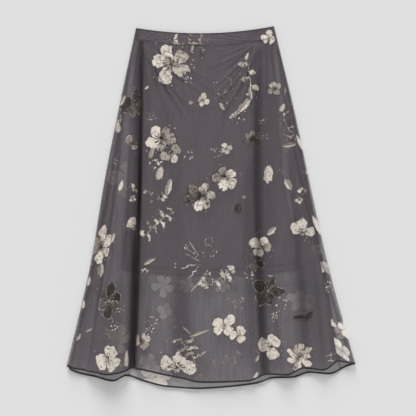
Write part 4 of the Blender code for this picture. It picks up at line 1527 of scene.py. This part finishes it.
def build_weave():
    """Pebble height and warp streaks, from the distance along the cloth in metres."""
    bench, given, result = node_group(
        "crepe_weave", [("Cloth", "Vector"), ("Thread", "Float")],
        [("Height", "Float"), ("Streak", "Float")])
    x, y, _ = bench.parts(given.outputs["Cloth"])
    thread = given.outputs["Thread"]
    warp = bench.math("SINE", bench.math("DIVIDE", bench.math("MULTIPLY", x, 2 * np.pi), thread))
    weft = bench.math("SINE", bench.math("DIVIDE", bench.math("MULTIPLY", y, 2 * np.pi), thread))
    pebble, _ = bench.noise(given.outputs["Cloth"], PEBBLES, 2.0)
    height = bench.math("MULTIPLY_ADD", bench.math("MULTIPLY", warp, weft), 0.35, pebble)
    long_place = bench.vector(bench.math("MULTIPLY", x, STREAKS_ACROSS),
                              bench.math("MULTIPLY", y, STREAKS_DOWN), 0.0)
    streak, _ = bench.noise(long_place, 1.0, 4.0, 0.7)
    bench.feed(result.inputs["Height"], height)
    bench.feed(result.inputs["Streak"], bench.rise(streak, 0.12, 0.88))
    return bench.tree


crepe_weave = build_weave()
print("weave:", len(crepe_weave.nodes), "nodes")

# %% [markdown]
# ## Fine drag lines
# The creases in the mesh are no finer than its faces. The finest drag lines at the waist
# corners are only a few millimetres apart, so a bump draws them. Round each corner the
# angle picks the line, and noise that changes quickly with the angle and slowly with the
# distance gives lines that fan out, part and fade. A broader noise, stretched down the
# skirt, rumples the rest of the cloth.

# %% The drag group
def build_drag():
    """The height of fine drag lines round two corners, and of the rumples between them."""
    bench, given, result = node_group(
        "waist_drag", [("Cloth", "Vector"), ("Left", "Vector"), ("Right", "Vector")],
        [("Height", "Float")])
    x, y, _ = bench.parts(given.outputs["Cloth"])
    height = 0.0
    for title, seed in (("Left", 1.0), ("Right", 8.0)):
        away = bench.add("ShaderNodeVectorMath", {0: given.outputs["Cloth"],
                                                  1: given.outputs[title]}, operation="SUBTRACT")
        away_x, away_y, _ = bench.parts(away.outputs[0])
        angle = bench.math("ARCTAN2", away_y, away_x)
        reach = bench.add("ShaderNodeVectorMath", {0: away.outputs[0]},
                          operation="LENGTH").outputs["Value"]
        lines, _ = bench.noise(bench.vector(bench.math("MULTIPLY", angle, 15.0), bench.math(
            "MULTIPLY", reach, 10.0), seed), 1.0, 3.0, 0.6)
        near = bench.both(bench.rise(reach, 0.004, 0.03), bench.fall(reach, 0.06, 0.24))
        height = bench.math("MULTIPLY_ADD", lines, near, height)
    rumple, _ = bench.noise(bench.vector(bench.math("MULTIPLY", x, 52.0), bench.math(
        "MULTIPLY", y, 8.0), 2.0), 1.0, 4.0, 0.6)
    bench.feed(result.inputs["Height"], bench.math("MULTIPLY_ADD", rumple, 0.42, height))
    return bench.tree


waist_drag = build_drag()
print("drag lines:", len(waist_drag.nodes), "nodes")

# %% [markdown]
# ## Printed georgette
# The skirt's cloth lets about half of the light through. Each layer of cloth has two
# faces here, an outer and an inner one, so each face stops only about a third. Where the
# print lies, the ink closes the cloth. Letting light through also makes the places with
# no lining paler, as they are on the real skirt. The back is set a little more open than
# the front, because it lies flat in one layer on the pale surface, while the front's
# threads stand at all angles. Its ink is blended towards white, which is painted light
# that lifts it out of the shade the front casts on it.

# %% The cloth materials
GROUND = (0.186, 0.154, 0.177)
GROUND_STREAKED = (0.142, 0.117, 0.136)
BAND_GROUND = (0.094, 0.080, 0.088)
FRONT_SHEER = 0.34
BACK_SHEER = 0.19
INKED_ALPHA = 0.80
# Painted light: the back's ink is blended towards this near white, against the shade the front
# casts on it.
PAINTED_LIGHT_WHITE = (1.0, 0.985, 0.96)
PAINTED_LIGHT_ON_INK = 0.36
THREAD = 0.00065
# Painted shade: the cloth's colour is darkened towards this tint in folds.
PAINTED_SHADE_TINT = (0.10, 0.088, 0.090)
LEFT_CORNER = (-0.175, -0.404, 0.0)
RIGHT_CORNER = (0.117, -0.406, 0.0)
DRAG_HEIGHT = 0.0030


def cloth_shader(name, roughness, sheen):
    """A material with an empty cloth shader, its bench and its weave."""
    material = bpy.data.materials.new(name)
    material.use_nodes = True
    bench = Bench(material.node_tree)
    shader = material.node_tree.nodes["Principled BSDF"]
    shader.inputs["Roughness"].default_value = roughness
    shader.inputs["Specular IOR Level"].default_value = 0.25
    shader.inputs["Sheen Weight"].default_value = sheen
    shader.inputs["Sheen Roughness"].default_value = 0.45
    flat = bench.add("ShaderNodeUVMap", uv_map="cloth")
    weave = bench.add("ShaderNodeGroup", node_tree=crepe_weave)
    bench.feed(weave.inputs["Cloth"], flat.outputs["UV"])
    bench.feed(weave.inputs["Thread"], THREAD)
    return material, bench, shader, weave


def printed_cloth(name, ground, streaked, sheer, inked, painted_light=0.0):
    """Printed cloth; sheer and inked are how far one face of it stops the light. The last argument
    paints light on the ink by blending it towards white.
    """
    material, bench, shader, weave = cloth_shader(name, 0.82, 0.12)
    drawing = bench.add("ShaderNodeGroup", node_tree=floral_print)
    motif = bench.add("ShaderNodeUVMap", uv_map="motif")
    bench.feed(drawing.inputs["Motif"], motif.outputs["UV"])
    for title, attribute in (("Shape", "motif_shape"), ("Look", "motif_look")):
        stored = bench.add("ShaderNodeAttribute", attribute_name=attribute,
                           attribute_type="GEOMETRY")
        bench.feed(drawing.inputs[title], stored.outputs["Vector"])
    bare = bench.blend(weave.outputs["Streak"], (*ground, 1), (*streaked, 1))
    cover = drawing.outputs["Cover"]
    # Painted shade: the shade stored on the vertices darkens the colour towards a dark tint; on
    # the print it is weaker, except in deep folds.
    depth = bench.add("ShaderNodeAttribute", attribute_name="painted_fold_shade",
                      attribute_type="GEOMETRY").outputs["Fac"]
    ink = drawing.outputs["Colour"]
    # Painted light: the ink is blended towards white, against the shade the front casts on it.
    if painted_light > 0:
        ink = bench.blend(painted_light, ink, (*PAINTED_LIGHT_WHITE, 1))
    colour = bench.blend(cover, bare, ink)
    shaded_colour = bench.blend(1.0, colour, (*PAINTED_SHADE_TINT, 1), "MULTIPLY")
    fading = bench.math("MULTIPLY_ADD", cover, bench.math("SUBTRACT", depth, 1.0), 1.0)
    shown_shade = bench.math("MULTIPLY", depth, fading)
    bench.feed(shader.inputs["Base Color"], bench.blend(shown_shade, colour, shaded_colour))
    if sheer < 1:
        closed = bench.math("MULTIPLY_ADD", weave.outputs["Streak"], 0.10, sheer - 0.05)
        closed = bench.math("MULTIPLY_ADD", cover, bench.math("SUBTRACT", inked, closed), closed)
        # The painted shade also closes the cloth, so less of the pale floor shows through.
        closed = bench.math("MULTIPLY_ADD", depth, bench.math("SUBTRACT", inked, closed), closed)
        bench.feed(shader.inputs["Alpha"], closed)
    drag = bench.add("ShaderNodeGroup", {"Left": LEFT_CORNER, "Right": RIGHT_CORNER},
                     node_tree=waist_drag)
    bench.feed(drag.inputs["Cloth"], weave.inputs["Cloth"].links[0].from_socket)
    broad = bench.add("ShaderNodeBump", {"Height": drag.outputs["Height"], "Strength": 1.0,
                                         "Distance": DRAG_HEIGHT})
    bump = bench.add("ShaderNodeBump", {"Height": weave.outputs["Height"], "Strength": 0.25,
                                        "Distance": 0.0002, "Normal": broad.outputs["Normal"]})
    bench.feed(shader.inputs["Normal"], bump.outputs["Normal"])
    return material


georgette = printed_cloth("printed_georgette", GROUND, GROUND_STREAKED, FRONT_SHEER, INKED_ALPHA)
smooth_georgette = printed_cloth(
    "printed_georgette_smooth", GROUND, GROUND_STREAKED, BACK_SHEER, INKED_ALPHA, PAINTED_LIGHT_ON_INK)
band_cloth = printed_cloth("printed_waistband", BAND_GROUND, GROUND_STREAKED, 1.0, 1.0)
print("materials:", georgette.name, "and", band_cloth.name)

# %% [markdown]
# ## Plain lining, rolled hems and thread
# The lining is an opaque plain cloth with a soft sheen. The hems are the same georgette
# rolled over twice, so they are darker and let nothing through. The thread matches the
# ground.

# %% Lining, hem and thread materials
LINING_GROUND = (0.175, 0.155, 0.168)
LINING_STREAKED = (0.150, 0.133, 0.144)
HEM_GROUND = (0.038, 0.031, 0.035)
HEM_STREAKED = (0.028, 0.023, 0.026)
SEAM_GROUND = (0.128, 0.110, 0.121)
SEAM_STREAKED = (0.100, 0.086, 0.094)
THREAD_GROUND = (0.082, 0.072, 0.078)
THREAD_STREAKED = (0.066, 0.058, 0.063)


def plain_cloth(name, ground, streaked, roughness, sheen):
    """Plain opaque cloth with the same weave."""
    material, bench, shader, weave = cloth_shader(name, roughness, sheen)
    bench.feed(shader.inputs["Base Color"], bench.blend(
        weave.outputs["Streak"], (*ground, 1), (*streaked, 1)))
    bump = bench.add("ShaderNodeBump", {"Height": weave.outputs["Height"], "Strength": 0.2,
                                        "Distance": 0.0002})
    bench.feed(shader.inputs["Normal"], bump.outputs["Normal"])
    return material


lining_cloth = plain_cloth("plain_lining", LINING_GROUND, LINING_STREAKED, 0.6, 0.25)
hem_cloth = plain_cloth("rolled_hem", HEM_GROUND, HEM_STREAKED, 0.8, 0.1)
seam_cloth = plain_cloth("seam_edge", SEAM_GROUND, SEAM_STREAKED, 0.8, 0.1)
thread_cloth = plain_cloth("matching_thread", THREAD_GROUND, THREAD_STREAKED, 0.7, 0.1)
for cloth, material in ((skirt_front, georgette), (skirt_back, smooth_georgette),
                        (band_front, band_cloth), (band_back, band_cloth),
                        (lining_front, lining_cloth), (lining_back, lining_cloth)):
    cloth.piece.data.materials.append(material)
print("six sheets finished")

# %% [markdown]
# ## Rolled hems and seams
# The skirt's hems are narrow rolls, under five millimetres wide, and the lining's are
# wider flat turns. A roll is a flattened tube that follows the edge of its sheet. It is
# made from a grid whose rows go once round the section, so its long seam closes when the
# doubles are merged. The same tube, thinner still, makes the seams at the waist and
# sides. Each roll goes with its own sheet.

# %% Edge rolls
Roll = namedtuple("Roll", "name cloth slot material path normal inward width height proud")
ROLL_ROWS = 12
ROLL_OVERHANG = 0.3
MERGE_DISTANCE = 1e-7


def unit(vectors):
    """Vectors of length one."""
    return vectors / np.linalg.norm(vectors, axis=-1, keepdims=True)


def map_from_above(piece):
    """A cloth map seen straight down, which is enough for a narrow trim."""
    corners = corner_vertices(piece.data)
    spots = np.array([vertex.co for vertex in piece.data.vertices])[corners]
    layer = piece.data.uv_layers.new(name="cloth")
    layer.data.foreach_set("uv", spots[:, :2].ravel())


def make_roll(roll):
    """A flattened tube along an edge; proud is how far it stands out of the outer face."""
    columns = len(roll.path) - 1
    shape, column, row = grid_shape(columns, ROLL_ROWS)
    angle = 2 * np.pi * row / ROLL_ROWS
    inward = unit(roll.inward)
    normal = unit(roll.normal)
    centre = (roll.path + inward * (roll.width / 2 - ROLL_OVERHANG)
              - normal * (roll.height / 2 - roll.proud))
    places = (centre[column] + inward[column] * (np.cos(angle) * roll.width / 2)[:, None]
              + normal[column] * (np.sin(angle) * roll.height / 2)[:, None])
    place_vertices(shape, places)
    bmesh.ops.remove_doubles(shape, verts=shape.verts, dist=MERGE_DISTANCE)
    rim = [edge for edge in shape.edges if edge.is_boundary]
    bmesh.ops.holes_fill(shape, edges=rim)
    bmesh.ops.recalc_face_normals(shape, faces=shape.faces)
    if shape.calc_volume(signed=True) < 0:
        bmesh.ops.reverse_faces(shape, faces=shape.faces)
    piece = new_piece(roll.name, shape)
    map_from_above(piece)
    piece.data.materials.append(roll.material)
    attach(piece, "root")
    return piece


def hem_roll(name, cloth, slot, material, normal, width, height, proud):
    """A roll along a sheet's lowest row."""
    return Roll(name, cloth, slot, material, cloth.points[:, -1], normal[:, -1],
                cloth.points[:, -6] - cloth.points[:, -1], width, height, proud)


def upright(cloth, up):
    """The same normal all over a flat sheet."""
    return np.broadcast_to(np.array((0.0, 0.0, up)), cloth.points.shape)


back_normal = outward(back_point, back_grid, back_y, 1)
front_strip = np.zeros((FRONT_ROWS + 1, 3))
front_strip[:, 0] = -1.0
side_strip = np.zeros((FRONT_ROWS + 1, 3))
side_strip[:, 2] = -1.0
band_seam = band_front.points[:, -1]
back_seam = band_back.points[:, -1]
down_y = np.broadcast_to(np.array((0.0, 1.0, 0.0)), band_seam.shape)

ROLLS = (
    hem_roll("front_hem_roll", skirt_front, "printed_georgette", hem_cloth,
             front_normal, 4.6, 1.6, 0.4),
    hem_roll("back_hem_roll", skirt_back, "printed_georgette", hem_cloth,
             back_normal, 4.2, 1.5, 0.0),
    hem_roll("lining_front_hem_turn", lining_front, "lining", lining_cloth,
             upright(lining_front, 1.0), 7.0, 0.8, 0.15),
    hem_roll("lining_back_hem_turn", lining_back, "lining", lining_cloth,
             upright(lining_back, -1.0), 7.0, 0.8, 0.15),
    Roll("side_seam_right", skirt_front, "printed_georgette", seam_cloth, front_points[-1],
         front_normal[-1], front_strip, 1.9, 1.0, 0.25),
    Roll("side_seam_left", skirt_front, "printed_georgette", seam_cloth, front_points[0],
         front_normal[0], side_strip, 1.6, 0.9, 0.1),
    Roll("waist_seam_front", band_front, "waistband", seam_cloth, band_seam,
         upright(band_front, 1.0)[:, -1], down_y, 1.4, 1.2, 0.1),
    Roll("waist_seam_back", band_back, "waistband", seam_cloth, back_seam,
         upright(band_back, -1.0)[:, -1], down_y, 1.6, 1.2, 0.0),
    Roll("waist_top_edge", band_front, "waistband", hem_cloth, band_front.points[:, 0],
         down_y, upright(band_front, 1.0)[:, 0], 2.2, 1.8, 0.7),
)
trims = {}
for roll in ROLLS:
    trims.setdefault(roll.cloth.piece.name, []).append(make_roll(roll))
print(sum(len(rolls) for rolls in trims.values()), "rolls and seams")

# %% [markdown]
# ## Stitches
# The hems and the waistband are held by rows of small machine stitches. Each stitch is a
# drawn-out sphere with a few dozen faces, half sunk in the cloth. Hundreds of them are
# placed along a row in one mesh, which keeps them cheap.

# %% Stitch rows
StitchRow = namedtuple("StitchRow", "name cloth slot path normal")
STITCH_LENGTH = 2.3
STITCH_PITCH = 3.1
STITCH_WIDTH = 0.42
STITCH_LIFT = 0.05
BAND_ENDS = slice(6, -6)


def read_along(line, along, places):
    """A line's coordinates at some distances along it."""
    return np.stack([np.interp(places, along, line[:, k]) for k in range(3)], axis=-1)


def make_stitches(row):
    """One mesh of stitches along a path."""
    steps = np.linalg.norm(np.diff(row.path, axis=0), axis=1)
    along = np.concatenate([[0], np.cumsum(steps)])
    places = np.arange(STITCH_PITCH, along[-1] - STITCH_PITCH, STITCH_PITCH)
    path = read_along(row.path, along, places)
    ahead = read_along(row.path, along, places + 1)
    normal = unit(read_along(row.normal, along, places))
    forward = unit(ahead - path)
    side = unit(np.cross(normal, forward))
    shape = bmesh.new()
    for spot, run, across, up in zip(path, forward, side, np.cross(forward, side)):
        stitch = bmesh.ops.create_uvsphere(shape, u_segments=6, v_segments=5, radius=0.5)["verts"]
        sizes = (STITCH_WIDTH, STITCH_WIDTH, STITCH_LENGTH)
        for vertex in stitch:
            x, y, z = (value * size for value, size in zip(vertex.co, sizes))
            vertex.co = spot + across * x + up * y + run * z
    places = np.array([vertex.co for vertex in shape.verts], dtype=float)
    place_vertices(shape, places)
    piece = new_piece(row.name, shape)
    map_from_above(piece)
    piece.data.materials.append(thread_cloth)
    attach(piece, "root")
    return piece, len(path)


def row_above_hem(name, cloth, slot, normal, rise, lift):
    """A stitch row a little above a sheet's lowest row, on its outer face."""
    inward = unit(cloth.points[:, -6] - cloth.points[:, -1])
    path = cloth.points[:, -1] + inward * rise + unit(normal[:, -1]) * lift
    return StitchRow(name, cloth, slot, path, normal[:, -1])


band_up = upright(band_front, 1.0)[:, 0]
low_row = band_front.points[:, -1] + np.array((0.0, 2.6, STITCH_LIFT))
high_row = band_front.points[:, BAND_TOP_ROWS] + np.array((0.0, -0.8, STITCH_LIFT))
STITCH_ROWS = (
    row_above_hem("front_hem_stitches", skirt_front, "printed_georgette", front_normal, 3.4, 0.4),
    row_above_hem("lining_front_stitches", lining_front, "lining",
                  upright(lining_front, 1.0), 6.0, 0.1),
    StitchRow("waist_stitches_low", band_front, "waistband",
              low_row[BAND_ENDS], band_up[BAND_ENDS]),
    StitchRow("waist_stitches_high", band_front, "waistband",
              high_row[BAND_ENDS], band_up[BAND_ENDS]),
)
for row in STITCH_ROWS:
    piece, count = make_stitches(row)
    trims[row.cloth.piece.name].append(piece)
    print(row.name, count, "stitches")

# %% [markdown]
# ## Riding on the skirt's body
# Every new piece rides on the skirt's one body, and the CAD node that it stands for is
# hidden.

# %% Ride on the body and hide the CAD nodes
Cut = namedtuple("Cut", "cloth node slot width length area")
CUTS = (
    Cut(skirt_front, "skirt_front", "printed_georgette", 0.86, 0.84, 0.52),
    Cut(skirt_back, "skirt_back", "printed_georgette", 0.76, 0.86, 0.47),
    Cut(lining_front, "lining_front", "lining", 0.44, 0.57, 0.215),
    Cut(lining_back, "lining_back", "lining", 0.44, 0.58, 0.22),
    Cut(band_front, "waistband_front", "waistband", 0.345, 0.03, 0.0099),
    Cut(band_back, "waistband_back", "waistband", 0.345, 0.03, 0.0099),
)
for cut in CUTS:
    piece = cut.cloth.piece
    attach(piece, "root")
    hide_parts(cut.node)
print(len(CUTS), "sheets declared")

# %% [markdown]
# ## Floor, light and camera
# A pale floor, one large soft light from above the waist and an even fill give the soft
# shadow below the hem. The camera looks straight down, as far away as a long lens needs,
# so the picture has hardly any perspective.

# %% Stage
def plain_material(name, colour, roughness):
    """A plain finish for what isn't part of the skirt."""
    material = bpy.data.materials.new(name)
    material.use_nodes = True
    shader = material.node_tree.nodes["Principled BSDF"]
    shader.inputs["Base Color"].default_value = (*colour, 1)
    shader.inputs["Roughness"].default_value = roughness
    return material


FLOOR_SIZE = 4.0
FLOOR_DROP = 0.0003
FLOOR_COLOUR = (0.80, 0.80, 0.80)
KEY_STRENGTH = 3.6
KEY_SOFTNESS = 0.5
KEY_DIRECTION = (0.14, -0.93, -0.345)
FILL_STRENGTH = 0.53
shape = bmesh.new()
bmesh.ops.create_grid(shape, x_segments=1, y_segments=1, size=FLOOR_SIZE)
bmesh.ops.translate(shape, verts=shape.verts, vec=(0, 0, -FLOOR_DROP))
floor = new_piece("floor", shape)
floor.data.materials.append(plain_material("pale_floor", FLOOR_COLOUR, 0.9))

key_data = bpy.data.lights.new("soft_key", "SUN")
key_data.energy = KEY_STRENGTH
key_data.angle = KEY_SOFTNESS
key = bpy.data.objects.new("soft_key", key_data)
key.rotation_euler = Vector(KEY_DIRECTION).to_track_quat("-Z", "Y").to_euler()
bpy.context.collection.objects.link(key)

world = bpy.data.worlds.new("soft_fill")
world.use_nodes = True
sky = world.node_tree.nodes["Background"]
sky.inputs["Color"].default_value = (1, 1, 1, 1)
sky.inputs["Strength"].default_value = FILL_STRENGTH
bpy.context.scene.world = world
bpy.context.scene.view_settings.view_transform = "Standard"

LENS = 100.0
SENSOR_WIDTH = 36.0
FRAME_WIDTH = 1.01338
CAMERA_X = -0.00706
CAMERA_Y = -0.0005
camera_data = bpy.data.cameras.new("camera")
camera_data.lens = LENS
camera_data.sensor_width = SENSOR_WIDTH
camera_data.sensor_fit = "HORIZONTAL"
camera = bpy.data.objects.new("camera", camera_data)
camera.location = (CAMERA_X, CAMERA_Y, FRAME_WIDTH * LENS / SENSOR_WIDTH)
bpy.context.collection.objects.link(camera)
bpy.context.scene.camera = camera
print("camera", round(camera.location.z, 3), "m above the table")
